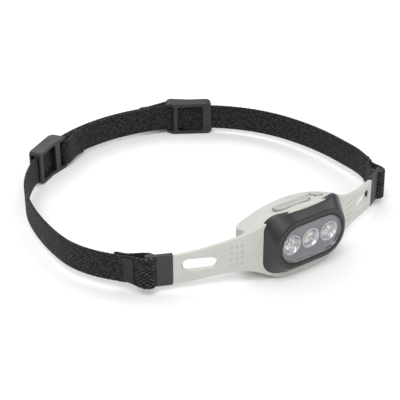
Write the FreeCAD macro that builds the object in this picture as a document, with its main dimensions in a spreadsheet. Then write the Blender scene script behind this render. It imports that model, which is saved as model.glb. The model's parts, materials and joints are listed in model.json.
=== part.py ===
import FreeCAD, Part
import Sketcher
import math
import os
from FreeCAD import Placement, Rotation, Vector

# Slim rechargeable headlamp: a flexible moulded cradle with a lamp in the middle,
# an elastic band sewn to its two anchors, and two slide adjusters behind the head.
# Millimetres. +Z is up, the lamp looks along -Y, the origin is the middle of the flat foot.

doc = FreeCAD.newDocument("headlamp")
sheet = doc.addObject("Spreadsheet::Sheet", "sizes")

SIZES = [
    # lamp body, outside
    ("front_radius", 72.0, "plan radius of the lamp front"),
    ("front_depth", 11.4, "front of the body, ahead of the origin"),
    ("back_depth", 10.0, "back of the body, behind the origin"),
    ("body_half_width", 31.0, "half width of the lamp body"),
    ("edge_round", 0.5, "rounding of the cradle's outer edges"),
    ("body_height", 38.2, "height of the body at the top of its front"),
    ("crown_radius", 72.0, "radius of the crowned top"),
    ("crown_half_width", 26.0, "half width of the crowned top"),
    ("back_corner", 4.5, "corner radius of the body's back"),
    ("top_fall", 0.28, "fall of the top per millimetre towards the back"),
    ("foot_half_width", 15.0, "half width of the flat foot"),
    # arms
    ("arm_reach", 65.6, "middle to arm end"),
    ("arm_thickness", 2.4, "thickness of an arm"),
    ("arm_tip_radius", 0.6, "rounding of an arm's end"),
    ("arm_tip_slope", 6.0, "slope of an arm's upper edge at its end, degrees"),
    ("arm_root", 2.0, "radius where an arm meets the body's side"),
    ("arm_end_low", 4.5, "lower edge of an arm end"),
    ("arm_end_high", 20.6, "upper edge of an arm end"),
    ("arch_height", 7.6, "top of the arch between foot and arm"),
    ("arch_x", 35.5, "top of the arch, across"),
    ("foot_turn", 24.0, "rise of the underside beside the foot, degrees"),
    ("slot_inner", 45.6, "inner end of an arm slot"),
    ("slot_outer", 61.6, "outer end of an arm slot"),
    ("slot_height", 6.8, "height of an arm slot"),
    ("slot_level", 14.4, "level of the slot's middle"),
    ("dimple_radius", 0.55, "radius of a grip dimple"),
    ("dimple_depth", 0.3, "depth of a grip dimple"),
    ("dimple_reach", 39.3, "outermost column of dimples, across"),
    ("dimple_pitch", 2.4, "distance between columns of dimples"),
    ("dimple_level", 12.0, "lowest dimple of the outermost column"),
    ("dimple_rise", 3.4, "distance between dimples of a column"),
    ("dimple_lift", 0.3, "rise from one column to the next inwards"),
    # bezel, lens and optics
    ("lamp_level", 20.1, "height of the lamp axis"),
    ("bezel_half_width", 24.6, "half width of the bezel"),
    ("bezel_half_height", 16.5, "half height of the bezel"),
    ("bezel_corner", 8.0, "corner radius of the bezel"),
    ("bezel_seat", 2.0, "depth of the bezel's seat in the cradle"),
    ("bevel_back", 4.0, "where the bevel would end, ahead of the origin"),
    ("bevel_half_width", 25.5, "half width of the bevel's back"),
    ("bevel_half_height", 23.1, "half height of the bevel's back"),
    ("bevel_corner", 12.0, "corner radius of the bevel's back"),
    ("rim_front", 15.0, "front of the bezel rim, ahead of the origin"),
    ("rim_round", 1.6, "rounding of the rim"),
    ("bevel_round", 1.2, "rounding where the bevel meets the bezel's sides"),
    ("rim_radius", 13.3, "end radius of the rim"),
    ("lens_half_run", 8.9, "half length of the lens's straight edge"),
    ("lens_radius", 10.2, "end radius of the lens"),
    ("lens_thickness", 2.0, "thickness of the lens"),
    ("gasket_width", 1.0, "width of the lens gasket"),
    ("light_radius", 9.7, "end radius of the light opening"),
    ("barrel_wall", 1.7, "wall of the optics barrel"),
    ("barrel_back", 6.3, "back of the barrel, ahead of the origin"),
    ("plate_thickness", 0.9, "thickness of the optic plate"),
    ("reflector_pitch", 11.9, "distance between reflectors"),
    ("reflector_radius", 5.3, "mouth radius of a reflector"),
    ("reflector_depth", 4.4, "depth of a reflector"),
    ("reflector_wall", 0.45, "wall of a reflector"),
    ("led_side", 3.0, "side of a light chip"),
    ("led_height", 0.7, "height of a light chip"),
    ("led_board_thickness", 1.2, "thickness of the light board"),
    # case and what it holds
    ("case_half_width", 24.0, "half width of the case"),
    ("case_low", 4.0, "bottom of the case"),
    ("case_high", 26.0, "top of the case"),
    ("case_front", 3.0, "front of the case, ahead of the origin"),
    ("case_back", 7.6, "back of the case, behind the origin"),
    ("case_corner", 4.0, "corner radius of the case"),
    ("case_wall", 1.3, "wall of the case"),
    ("case_seal", 0.7, "thickness of the back seal"),
    ("cover_thickness", 1.4, "thickness of the back cover"),
    ("boss_radius", 2.2, "radius of a screw boss"),
    ("boss_inset", 3.1, "screw axis to the case's outside"),
    ("screw_radius", 0.8, "radius of a screw's shank"),
    ("screw_head_radius", 1.5, "radius of a screw's head"),
    ("screw_length", 6.0, "length of a screw's shank"),
    ("screw_head", 1.0, "depth of a screw head's counterbore"),
    ("wire_half_run", 3.0, "half length of a wire passage's straight edge"),
    ("wire_radius", 1.6, "end radius of a wire passage"),
    ("cell_width", 36.0, "width of the battery cell"),
    ("cell_height", 13.0, "height of the battery cell"),
    ("cell_depth", 6.5, "thickness of the battery cell"),
    ("cell_pad", 0.8, "thickness of the battery pad"),
    ("board_level", 22.4, "underside of the main board"),
    ("board_thickness", 1.0, "thickness of the main board"),
    ("board_half_width", 18.0, "half width of the main board"),
    ("port_offset", 11.0, "charging socket, off the middle"),
    ("port_width", 9.0, "width of the charging socket"),
    ("port_height", 3.2, "height of the charging socket"),
    ("port_depth", 7.4, "depth of the charging socket"),
    ("port_shell", 0.35, "wall of the charging socket"),
    ("flap_thickness", 1.0, "thickness of the port cover"),
    ("flap_recess", 0.7, "depth of the port cover's recess"),
    ("flap_margin", 1.6, "port cover beyond the socket, each way"),
    # push buttons
    ("power_half_run", 6.7, "half length of the power button's straight edge"),
    ("power_radius", 3.1, "end radius of the power button"),
    ("power_x", -3.4, "power button, across"),
    ("power_y", -2.0, "power button, fore and aft"),
    ("power_turn", -8.0, "turn of the power button in the top, degrees"),
    ("mode_radius", 2.9, "radius of the mode button"),
    ("mode_x", 15.6, "mode button, across"),
    ("mode_y", 1.4, "mode button, fore and aft"),
    ("button_proud", 0.7, "buttons above the top"),
    ("button_travel", 0.5, "press travel of a button"),
    ("skin", 2.0, "cradle over the button board, at the buttons"),
    ("flange", 0.6, "thickness and overhang of a button's flange"),
    ("stem_radius", 1.2, "radius of a button's stem"),
    ("stem_reach", 2.9, "button stem below the lamp's top"),
    ("switch_board_half_length", 13.5, "half length of the button board"),
    ("switch_board_half_width", 4.0, "half width of the button board"),
    ("switch_board_y", 0.2, "middle of the button board, fore and aft"),
    ("indicator_length", 3.2, "length of the indicator window"),
    ("switch_side", 3.0, "side of a tactile switch"),
    ("switch_height", 1.3, "height of a tactile switch"),
    ("lamp_window_x", 6.6, "indicator window, across"),
    ("lamp_window_y", 2.0, "indicator window, fore and aft"),
    ("lamp_window_half_run", 0.9, "half length of the indicator's straight edge"),
    ("lamp_window_radius", 0.9, "end radius of the indicator window"),
    # anchors
    ("anchor_plate", 8.0, "anchor plate beyond the arm end"),
    ("anchor_tongue", 5.0, "anchor tongue inside the arm end"),
    ("tongue_thickness", 1.0, "thickness of the anchor tongue"),
    ("tongue_height", 9.0, "height of the anchor tongue"),
    ("anchor_height", 17.6, "height of an anchor"),
    ("anchor_slot", 2.6, "band slot in an anchor"),
    ("post_radius", 1.5, "radius of an anchor's post"),
    ("anchor_round", 0.5, "rounding of an anchor's upper and lower edges"),
    # band
    ("band_width", 15.0, "width of the band"),
    ("band_thickness", 1.6, "thickness of the band"),
    ("layer_gap", 0.3, "gap between band layers"),
    ("slot_room", 0.3, "room above and below the band in an anchor or adjuster"),
    ("post_gap", 0.3, "gap between the band and an anchor's post"),
    ("fold_length", 11.0, "post to the end of the band's fold"),
    ("seam_length", 7.0, "length of the sewn double band at an anchor"),
    ("back_radius", 92.0, "radius of the band behind the head"),
    ("back_x", -5.5, "centre of the back curve, across"),
    ("back_y", 75.0, "centre of the back curve, fore and aft"),
    ("back_right", 41.0, "right end of the back curve, degrees"),
    ("back_left", 138.0, "left end of the back curve, degrees"),
    ("right_reach", 86.2, "furthest right of the band"),
    ("right_reach_y", 66.0, "where the band is furthest right"),
    ("left_reach", 98.4, "furthest left of the band"),
    ("left_reach_y", 64.0, "where the band is furthest left"),
    ("right_leave", 70.0, "turn of the band at the right anchor, degrees"),
    ("left_leave", 53.0, "turn of the band at the left anchor, degrees"),
    # slide adjusters
    ("adjuster_half", 14.0, "half length of an adjuster"),
    ("adjuster_corner", 3.2, "corner radius of an adjuster, seen from behind"),
    ("window_corner", 1.5, "corner radius of an adjuster's window"),
    ("adjuster_rail", 1.9, "height of an adjuster's rail"),
    ("adjuster_plate", 1.4, "thickness of an adjuster's plate"),
    ("adjuster_wide_bar", 5.4, "width of the wide end bar"),
    ("adjuster_thin_bar", 2.4, "width of the plate's thin bar"),
    ("adjuster_window", 15.4, "length of the window between the plate's bars"),
    ("adjuster_bridge", 1.4, "thickness of a bridge over the band"),
    ("adjuster_end_bridge", 3.0, "width of the end bridge"),
    ("adjuster_mid_bridge", 4.0, "width of the middle bridge"),
    ("adjuster_mid_bridge_run", 2.6, "middle of an adjuster to its middle bridge"),
    ("adjuster_post_run", 12.6, "middle of an adjuster to its band post"),
    ("adjuster_post", 1.0, "radius of the post that holds a sewn band end"),
    ("adjuster_right", 57.0, "place of the right adjuster, degrees"),
    ("adjuster_left", 121.0, "place of the left adjuster, degrees"),
    ("adjuster_travel", 6.0, "travel of an adjuster each way, degrees"),
    ("band_room", 0.35, "room round the band in an adjuster"),
    ("fit", 0.1, "clearance between parts that fit together"),
    ("slide_fit", 0.05, "clearance of a button in its hole"),
]

for row, (alias, value, note) in enumerate(SIZES, start=1):
    sheet.set("A%d" % row, note)
    sheet.set("B%d" % row, str(value))
    sheet.setAlias("B%d" % row, alias)
doc.recompute()


def cell(alias):
    """A size from the sheet, in millimetres or degrees."""
    return float(sheet.get(alias))


# ---------------------------------------------------------------- shared helpers

PARTS = []
UP = Vector(0, 0, 1)
FACING_FRONT = Rotation(Vector(1, 0, 0), 90)
FACING_BACK = Rotation(UP, 180).multiply(FACING_FRONT)


def keep(obj, label, place=None):
    """Name a finished sub-part, put it in its place and list it for export."""
    obj.Label = label
    if place is not None:
        obj.Placement = place
    PARTS.append(obj)
    return obj


def front_place(y, x=0.0, z=None):
    """A place whose own +Z looks out of the lamp's front."""
    level = cell("lamp_level") if z is None else z
    return Placement(Vector(x, y, level), FACING_FRONT)


def new_body(name):
    return doc.addObject("PartDesign::Body", name)


def sketch_on(body, name, role="XY_Plane", lift=None):
    """A sketch on one of the body's own planes, lifted along its normal by a formula."""
    sketch = body.newObject("Sketcher::SketchObject", name)
    plane = [item for item in body.Origin.OriginFeatures if item.Role == role][0]
    sketch.AttachmentSupport = (plane, [""])
    sketch.MapMode = "FlatFace"
    if lift is not None:
        sketch.setExpression(".AttachmentOffset.Base.z", lift)
    return sketch


def constrain(sketch, text, *what):
    """A driving constraint whose value is a formula on the sheet."""
    index = sketch.addConstraint(Sketcher.Constraint(*what))
    sketch.setExpression("Constraints[%d]" % index, text)


def polygon(sketch, points):
    """A closed outline whose corners are set by pairs of formulas."""
    first = sketch.GeometryCount
    count = len(points)
    for k in range(count):
        turn = 2 * math.pi * k / count
        step = 2 * math.pi * (k + 1) / count
        start = Vector(10 * math.cos(turn), 10 * math.sin(turn), 0)
        end = Vector(10 * math.cos(step), 10 * math.sin(step), 0)
        sketch.addGeometry(Part.LineSegment(start, end))
    for k in range(count):
        following = first + (k + 1) % count
        sketch.addConstraint(Sketcher.Constraint("Coincident", first + k, 2, following, 1))
    for k, (across, along) in enumerate(points):
        constrain(sketch, across, "DistanceX", -1, 1, first + k, 1, 1.0)
        constrain(sketch, along, "DistanceY", -1, 1, first + k, 1, 1.0)


def box_outline(sketch, left, right, low, high):
    polygon(sketch, [(left, low), (right, low), (right, high), (left, high)])


def circle(sketch, radius, across=None, along=None):
    """A circle at the origin, or at a place set by formulas."""
    index = sketch.addGeometry(Part.Circle(Vector(0, 0, 0), UP, 5))
    if across is None:
        sketch.addConstraint(Sketcher.Constraint("PointOnObject", index, 3, -2))
    else:
        constrain(sketch, across, "DistanceX", -1, 1, index, 3, 1.0)
    if along is None:
        sketch.addConstraint(Sketcher.Constraint("PointOnObject", index, 3, -1))
    else:
        constrain(sketch, along, "DistanceY", -1, 1, index, 3, 1.0)
    constrain(sketch, radius, "Radius", index, 5.0)


def stadium(sketch, half_run, radius):
    """A long rounded outline about the origin: two straight edges and two half circles."""
    run, reach = 9.0, 7.0
    quarter = math.pi / 2
    ids = [
        sketch.addGeometry(Part.LineSegment(Vector(-run, reach, 0), Vector(run, reach, 0))),
        sketch.addGeometry(Part.LineSegment(Vector(run, -reach, 0), Vector(-run, -reach, 0))),
        sketch.addGeometry(Part.ArcOfCircle(
            Part.Circle(Vector(run, 0, 0), UP, reach), -quarter, quarter)),
        sketch.addGeometry(Part.ArcOfCircle(
            Part.Circle(Vector(-run, 0, 0), UP, reach), quarter, 3 * quarter)),
    ]
    top, low, right, left = ids
    for one, one_end, two, two_end in (
            (top, 2, right, 2), (right, 1, low, 1), (low, 2, left, 2), (left, 1, top, 1)):
        sketch.addConstraint(Sketcher.Constraint("Tangent", one, one_end, two, two_end))
    sketch.addConstraint(Sketcher.Constraint("Equal", right, left))
    sketch.addConstraint(Sketcher.Constraint("PointOnObject", right, 3, -1))
    sketch.addConstraint(Sketcher.Constraint("Symmetric", left, 3, right, 3, -1, 1))
    constrain(sketch, half_run, "DistanceX", -1, 1, right, 3, run)
    constrain(sketch, radius, "Radius", right, reach)


def rounded_box(sketch, half_width, half_height, corner):
    """A rounded rectangle about the origin."""
    wide, tall, bend = 20.0, 14.0, 4.0
    quarter = math.pi / 2
    lines = [
        (Vector(-wide + bend, tall, 0), Vector(wide - bend, tall, 0)),
        (Vector(wide, tall - bend, 0), Vector(wide, -tall + bend, 0)),
        (Vector(wide - bend, -tall, 0), Vector(-wide + bend, -tall, 0)),
        (Vector(-wide, -tall + bend, 0), Vector(-wide, tall - bend, 0)),
    ]
    sides = [sketch.addGeometry(Part.LineSegment(*line)) for line in lines]
    middles = [
        (Vector(wide - bend, tall - bend, 0), 0.0),
        (Vector(wide - bend, -tall + bend, 0), -quarter),
        (Vector(-wide + bend, -tall + bend, 0), -2 * quarter),
        (Vector(-wide + bend, tall - bend, 0), quarter),
    ]
    corners = [
        sketch.addGeometry(Part.ArcOfCircle(Part.Circle(middle, UP, bend), turn, turn + quarter))
        for middle, turn in middles
    ]
    for k in range(4):
        sketch.addConstraint(Sketcher.Constraint("Tangent", sides[k], 2, corners[k], 2))
        sketch.addConstraint(Sketcher.Constraint("Tangent", corners[k], 1, sides[(k + 1) % 4], 1))
    for k in range(1, 4):
        sketch.addConstraint(Sketcher.Constraint("Equal", corners[0], corners[k]))
    for k in (0, 2):
        sketch.addConstraint(Sketcher.Constraint("Horizontal", sides[k]))
        sketch.addConstraint(Sketcher.Constraint("Vertical", sides[k + 1]))
    sketch.addConstraint(Sketcher.Constraint("Symmetric", corners[0], 3, corners[2], 3, -1, 1))
    constrain(sketch, corner, "Radius", corners[0], bend)
    less = " - (" + corner + ")"
    constrain(sketch, half_width + less, "DistanceX", -1, 1, corners[0], 3, 16.0)
    constrain(sketch, half_height + less, "DistanceY", -1, 1, corners[0], 3, 10.0)


def pad(body, sketch, length, both=False):
    feature = body.newObject("PartDesign::Pad", sketch.Name + "_pad")
    feature.Profile = sketch
    feature.setExpression("Length", length)
    feature.Midplane = both
    doc.recompute()
    return feature


def cut(body, sketch, length=None, both=False, backwards=False):
    """A pocket: through everything unless a length is given. It has to take something away."""
    before = body.Shape.Volume
    feature = body.newObject("PartDesign::Pocket", sketch.Name + "_cut")
    feature.Profile = sketch
    if length is None:
        feature.Type = "ThroughAll"
    else:
        feature.setExpression("Length", length)
    feature.Midplane = both
    feature.Reversed = backwards
    doc.recompute()
    if body.Shape.Volume > before - 1e-6:
        raise RuntimeError(feature.Name + " cuts nothing")
    return feature


def edges_where(shape, test):
    """Names of the edges whose middle passes a test."""
    found = []
    for number, edge in enumerate(shape.Edges, start=1):
        if test(edge.BoundBox.Center, edge):
            found.append("Edge%d" % number)
    return found


def sharp_edge(shape, edge):
    """Whether an edge's two faces meet at a clear angle."""
    middle = edge.valueAt((edge.FirstParameter + edge.LastParameter) / 2)
    normals = []
    for face in shape.ancestorsOfType(edge, Part.Face):
        across, along = face.Surface.parameter(middle)
        normals.append(face.normalAt(across, along))
    return math.degrees(normals[0].getAngle(normals[-1])) > 20


def fillet(body, feature, edges, radius):
    rounding = body.newObject("PartDesign::Fillet", feature.Name + "_round")
    rounding.Base = (feature, edges)
    rounding.setExpression("Radius", radius)
    doc.recompute()
    return rounding


def rounded_path(points):
    """A closed wire of straight edges and tangent arcs: each point gives x, y and its radius."""
    count = len(points)
    edges = []
    ends = []
    for k in range(count):
        here = Vector(points[k][0], points[k][1], 0)
        before = Vector(points[k - 1][0], points[k - 1][1], 0) - here
        after = Vector(points[(k + 1) % count][0], points[(k + 1) % count][1], 0) - here
        before.normalize()
        after.normalize()
        radius = points[k][2]
        if radius == 0:
            ends.append((here, here))
            edges.append(None)
            continue
        half = before.getAngle(after) / 2
        back = radius / math.tan(half)
        middle = before + after
        middle.normalize()
        start = here + before * back
        end = here + after * back
        apex = here + middle * (radius / math.sin(half) - radius)
        ends.append((start, end))
        edges.append(Part.Arc(start, apex, end).toShape())
    wire = []
    for k in range(count):
        if edges[k] is not None:
            wire.append(edges[k])
        start = ends[k][1]
        end = ends[(k + 1) % count][0]
        if start.distanceToPoint(end) > 1e-6:
            wire.append(Part.LineSegment(start, end).toShape())
    return Part.Wire(wire)


# ---------------------------------------------------------------- layout worked out from the sheet

front_radius = cell("front_radius")
front_centre = Vector(0, front_radius - cell("front_depth"), 0)
body_half = cell("body_half_width")
arm_slope = body_half / math.sqrt(front_radius ** 2 - body_half ** 2)
arm_angle = math.atan(arm_slope)
along_arm = Vector(math.cos(arm_angle), math.sin(arm_angle), 0)
into_arm = Vector(-math.sin(arm_angle), math.cos(arm_angle), 0)
shoulder = Vector(body_half, front_centre.y - math.sqrt(front_radius ** 2 - body_half ** 2), 0)


def arm_point(reach, inwards=0.0):
    """A point of the right arm, seen from above, at a distance from the middle."""
    return shoulder + along_arm * ((reach - shoulder.x) / along_arm.x) + into_arm * inwards


def top_level(x, y):
    """Height of the lamp's crowned and sloping top."""
    crown = cell("crown_radius")
    return (cell("body_height") - crown + math.sqrt(crown ** 2 - x ** 2)
            - cell("top_fall") * (y + cell("front_depth")))


def top_place(x, y, turn=0.0):
    """A place on the lamp's top, with +Z straight out of the surface."""
    lean = Vector(x / math.sqrt(cell("crown_radius") ** 2 - x ** 2), cell("top_fall"), 1)
    rotation = Rotation(UP, lean).multiply(Rotation(UP, turn))
    return Placement(Vector(x, y, top_level(x, y)), rotation)


power_place = top_place(cell("power_x"), cell("power_y"), cell("power_turn"))
mode_place = top_place(cell("mode_x"), cell("mode_y"))
indicator_place = top_place(cell("lamp_window_x"), cell("lamp_window_y"))
arm_level = (cell("arm_end_low") + cell("arm_end_high")) / 2
arm_end = arm_point(cell("arm_reach"), cell("arm_thickness") / 2)
post_run = cell("anchor_plate") + cell("anchor_slot") + cell("post_radius")
post = arm_end + along_arm * post_run
case_level = (cell("case_low") + cell("case_high")) / 2
BARREL = "sizes.light_radius + sizes.barrel_wall"
LENS_SEAT = "sizes.lens_radius + sizes.gasket_width + 2 * sizes.fit"
PLATE_FRONT = "sizes.rim_front - sizes.lens_thickness - sizes.fit"
plate_front = cell("rim_front") - cell("lens_thickness") - cell("fit")
reflector_base = plate_front - cell("reflector_depth")
light_board_front = reflector_base - cell("led_height") - cell("fit")
board_x = (cell("power_x") + cell("mode_x")) / 2
board_place = top_place(board_x, cell("switch_board_y"))
button_drop = -board_place.inverse().multVec(mode_place.Base).z
board_drop = (button_drop + cell("stem_reach") + cell("button_travel") + 2 * cell("slide_fit")
              + cell("switch_height"))
adjuster_height = cell("band_width") + 2 * cell("slot_room") + 2 * cell("adjuster_rail")
back_centre = Vector(cell("back_x"), cell("back_y"), 0)


# ---------------------------------------------------------------- outlines in a plane

def heading(degrees):
    return Vector(math.cos(math.radians(degrees)), math.sin(math.radians(degrees)), 0)


def arc_to(start, degrees, end):
    """The arc that leaves start at a heading and ends at end: three points and their headings."""
    chord = end - start
    half = math.degrees(math.atan2(chord.y, chord.x)) - degrees
    half = (half + 180) % 360 - 180
    reach = chord.Length / 2 / math.cos(math.radians(half) / 2)
    middle = start + heading(degrees + half / 2) * reach
    return [(start, degrees), (middle, degrees + half), (end, degrees + 2 * half)]


def two_arcs(start, degrees, end, end_degrees):
    """Two tangent arcs between two points with given headings."""
    chord = end - start
    leave = heading(degrees)
    arrive = heading(end_degrees)
    both = leave + arrive
    bend = 2 * (1 - leave.dot(arrive))
    dot = chord.dot(both)
    if bend < 1e-9:
        reach = chord.dot(chord) / (4 * chord.dot(arrive))
    else:
        reach = (-dot + math.sqrt(dot * dot + bend * chord.dot(chord))) / bend
    first = start + leave * reach
    second = end - arrive * reach
    meet = (first + second) / 2
    tangent = second - first
    return [arc_to(start, degrees, meet),
            arc_to(meet, math.degrees(math.atan2(tangent.y, tangent.x)), end)]


def edge_of(piece, offset=0.0):
    """The edge of an arc or a straight piece, moved to its left by an offset."""
    start, middle, end = [point + heading(angle + 90) * offset for point, angle in piece]
    if abs(piece[2][1] - piece[0][1]) < 1e-6:
        return Part.LineSegment(start, end).toShape()
    return Part.Arc(start, middle, end).toShape()


def straight(start, degrees, length):
    end = start + heading(degrees) * length
    return [(start, degrees), ((start + end) / 2, degrees), (end, degrees)]


def slab(edges):
    """A closed outline in plan, stood up to the width of the band."""
    face = Part.Face(Part.Wire(Part.__sortEdges__(edges)))
    if face.normalAt(0, 0).z < 0:
        face.reverse()
    return face.extrude(Vector(0, 0, cell("band_width")))


def ribbon(pieces, right, left):
    """The solid between two curves that follow a path at fixed distances to its sides."""
    ahead = [edge_of(piece, left) for piece in pieces]
    behind = [edge_of(piece, -right) for piece in pieces]
    start, turn = pieces[0][0]
    end, end_turn = pieces[-1][2]
    caps = []
    for point, angle in ((start, turn), (end, end_turn)):
        side = heading(angle + 90)
        caps.append(Part.LineSegment(point + side * left, point - side * right).toShape())
    return slab(ahead + behind + caps)


def cornered(points):
    return slab(Part.makePolygon(points + [points[0]]).Edges)


def disc(centre, radius):
    return slab([Part.makeCircle(radius, centre)])


def touch(centre, radius, point, side):
    """Where a line from a point touches a circle, on one side."""
    away = point - centre
    turn = math.degrees(math.atan2(away.y, away.x)) + side * math.degrees(
        math.acos(radius / away.Length))
    return centre + heading(turn) * radius


def loop(centre, inner, outer, left, right, apex):
    """A band's fold round a post, drawn in to the sewn layers between left and right."""
    around = cornered([
        centre, touch(centre, outer, left, 1), left, right, touch(centre, outer, right, -1)])
    hole = cornered([
        centre, touch(centre, inner, apex, 1), apex, touch(centre, inner, apex, -1)])
    return disc(centre, outer).fuse(around).cut(disc(centre, inner).fuse(hole))


def upright(face):
    """A plan view of x and height, stood up in the XZ plane."""
    return face.rotated(Vector(0, 0, 0), Vector(1, 0, 0), 90)


# ---------------------------------------------------------------- cradle

def edge_run(start, degrees, end, end_degrees, beyond):
    """Half of the cradle's upper or lower outline, right of the middle, carried past the arm."""
    run = two_arcs(start, degrees, end, end_degrees)
    return run + [straight(end, end_degrees, beyond)]


def mirrored(edges):
    return [edge.mirror(Vector(0, 0, 0), Vector(1, 0, 0)) for edge in edges]


def upper_solid():
    """Everything under the lamp's crowned, sloping top and its shoulders."""
    crown = cell("crown_radius")
    edge = cell("crown_half_width")
    drop = crown - math.sqrt(crown ** 2 - edge ** 2)
    shoulder_point = Vector(edge, cell("body_height") - drop, 0)
    fall = cell("top_fall")
    arm_tip = arm_point(cell("arm_reach"))
    tip = Vector(arm_tip.x, cell("arm_end_high") + fall * (arm_tip.y + cell("front_depth")), 0)
    tip_slope = math.degrees(math.atan(
        fall * arm_slope - math.tan(math.radians(cell("arm_tip_slope")))))
    run = edge_run(shoulder_point, -math.degrees(math.asin(edge / crown)), tip, tip_slope,
                   2 * cell("arm_thickness"))
    side = [edge_of(piece) for piece in run]
    top = Part.Arc(
        Vector(-edge, shoulder_point.y, 0), Vector(0, cell("body_height"), 0), shoulder_point)
    end = run[-1][2][0]
    floor = Vector(end.x, -crown, 0)
    walls = [Part.LineSegment(end, floor).toShape()]
    base = Part.LineSegment(floor, Vector(-floor.x, floor.y, 0)).toShape()
    edges = [top.toShape(), base] + side + mirrored(side) + walls + mirrored(walls)
    face = upright(Part.Face(Part.Wire(Part.__sortEdges__(edges))))
    ahead = crown - cell("front_depth")
    face.translate(Vector(0, -crown, fall * ahead))
    return face.extrude(Vector(0, 2 * crown, -fall * 2 * crown))


def lower_solid():
    """Everything above the flat foot, the arches beside it and the arms' lower edges."""
    foot = Vector(cell("foot_half_width"), 0, 0)
    arch = Vector(cell("arch_x"), cell("arch_height"), 0)
    tip = Vector(cell("arm_reach"), cell("arm_end_low"), 0)
    run = two_arcs(foot, cell("foot_turn"), arch, 0)
    run += edge_run(arch, 0, tip, 0, 2 * cell("arm_thickness"))
    side = [edge_of(piece) for piece in run]
    end = run[-1][2][0]
    ceiling = Vector(end.x, 2 * cell("body_height"), 0)
    walls = [Part.LineSegment(end, ceiling).toShape()]
    base = Part.LineSegment(Vector(-foot.x, 0, 0), foot).toShape()
    lid = Part.LineSegment(ceiling, Vector(-ceiling.x, ceiling.y, 0)).toShape()
    edges = [base, lid] + side + mirrored(side) + walls + mirrored(walls)
    face = upright(Part.Face(Part.Wire(Part.__sortEdges__(edges))))
    depth = cell("crown_radius")
    face.translate(Vector(0, -depth, 0))
    return face.extrude(Vector(0, 2 * depth, 0))


def plan_solid():
    """The cradle seen from above: curved front, straight arms, and the body's back."""
    reach = cell("arm_reach")
    thick = cell("arm_thickness")
    nose = Vector(0, shoulder.y - arm_slope * shoulder.x, 0)
    outer = arm_point(reach)
    inner = arm_point(reach, thick)
    root = arm_point(body_half - thick * arm_slope, thick)
    root = root + along_arm * ((body_half - root.x) / along_arm.x)
    back = Vector(body_half, cell("back_depth"), 0)
    tip = cell("arm_tip_radius")
    half = [(outer, tip), (inner, tip), (root, cell("arm_root")), (back, cell("back_corner"))]
    points = [(nose.x, nose.y, cell("front_radius"))]
    points += [(point.x, point.y, radius) for point, radius in half]
    points += [(-point.x, point.y, radius) for point, radius in reversed(half)]
    face = Part.Face(rounded_path(points))
    return face.extrude(Vector(0, 0, 2 * cell("body_height")))


def rounded_prism(half_width, half_height, corner, front, back, level):
    """A rounded box whose axis runs fore and aft, between two depths ahead of the origin."""
    points = [(x * half_width, y * half_height, corner)
              for x, y in ((1, 1), (1, -1), (-1, -1), (-1, 1))]
    solid = Part.Face(rounded_path(points)).extrude(Vector(0, 0, front - back))
    solid.Placement = front_place(-back, 0, level)
    return solid


def stadium_face(half_run, radius):
    points = [(x * (half_run + radius), y * radius, radius)
              for x, y in ((1, 1), (1, -1), (-1, -1), (-1, 1))]
    wire = rounded_path(points) if half_run > 0 else Part.Wire(Part.makeCircle(radius))
    return Part.Face(wire)


def stadium_prism(half_run, radius, place, low, high):
    solid = stadium_face(half_run, radius).extrude(Vector(0, 0, high - low))
    solid.Placement = place.multiply(Placement(Vector(0, 0, low), Rotation()))
    return solid


def cylinder_round(radius, centre):
    height = 4 * cell("body_height")
    return Part.makeCylinder(radius, height, centre - UP * height / 2)


def arm_frame(side):
    """A place on an arm's outer face: +X outwards along the arm, +Z out of its face."""
    if side > 0:
        return Rotation(along_arm, UP, along_arm.cross(UP), "XYZ")
    outwards = Vector(-along_arm.x, along_arm.y, 0)
    return Rotation(outwards, UP * -1, outwards.cross(UP * -1), "XYZ")


def on_arm(side, reach, level):
    """A point on an arm's outer face."""
    point = arm_point(reach)
    return Placement(Vector(side * point.x, point.y, level), arm_frame(side))


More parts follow.
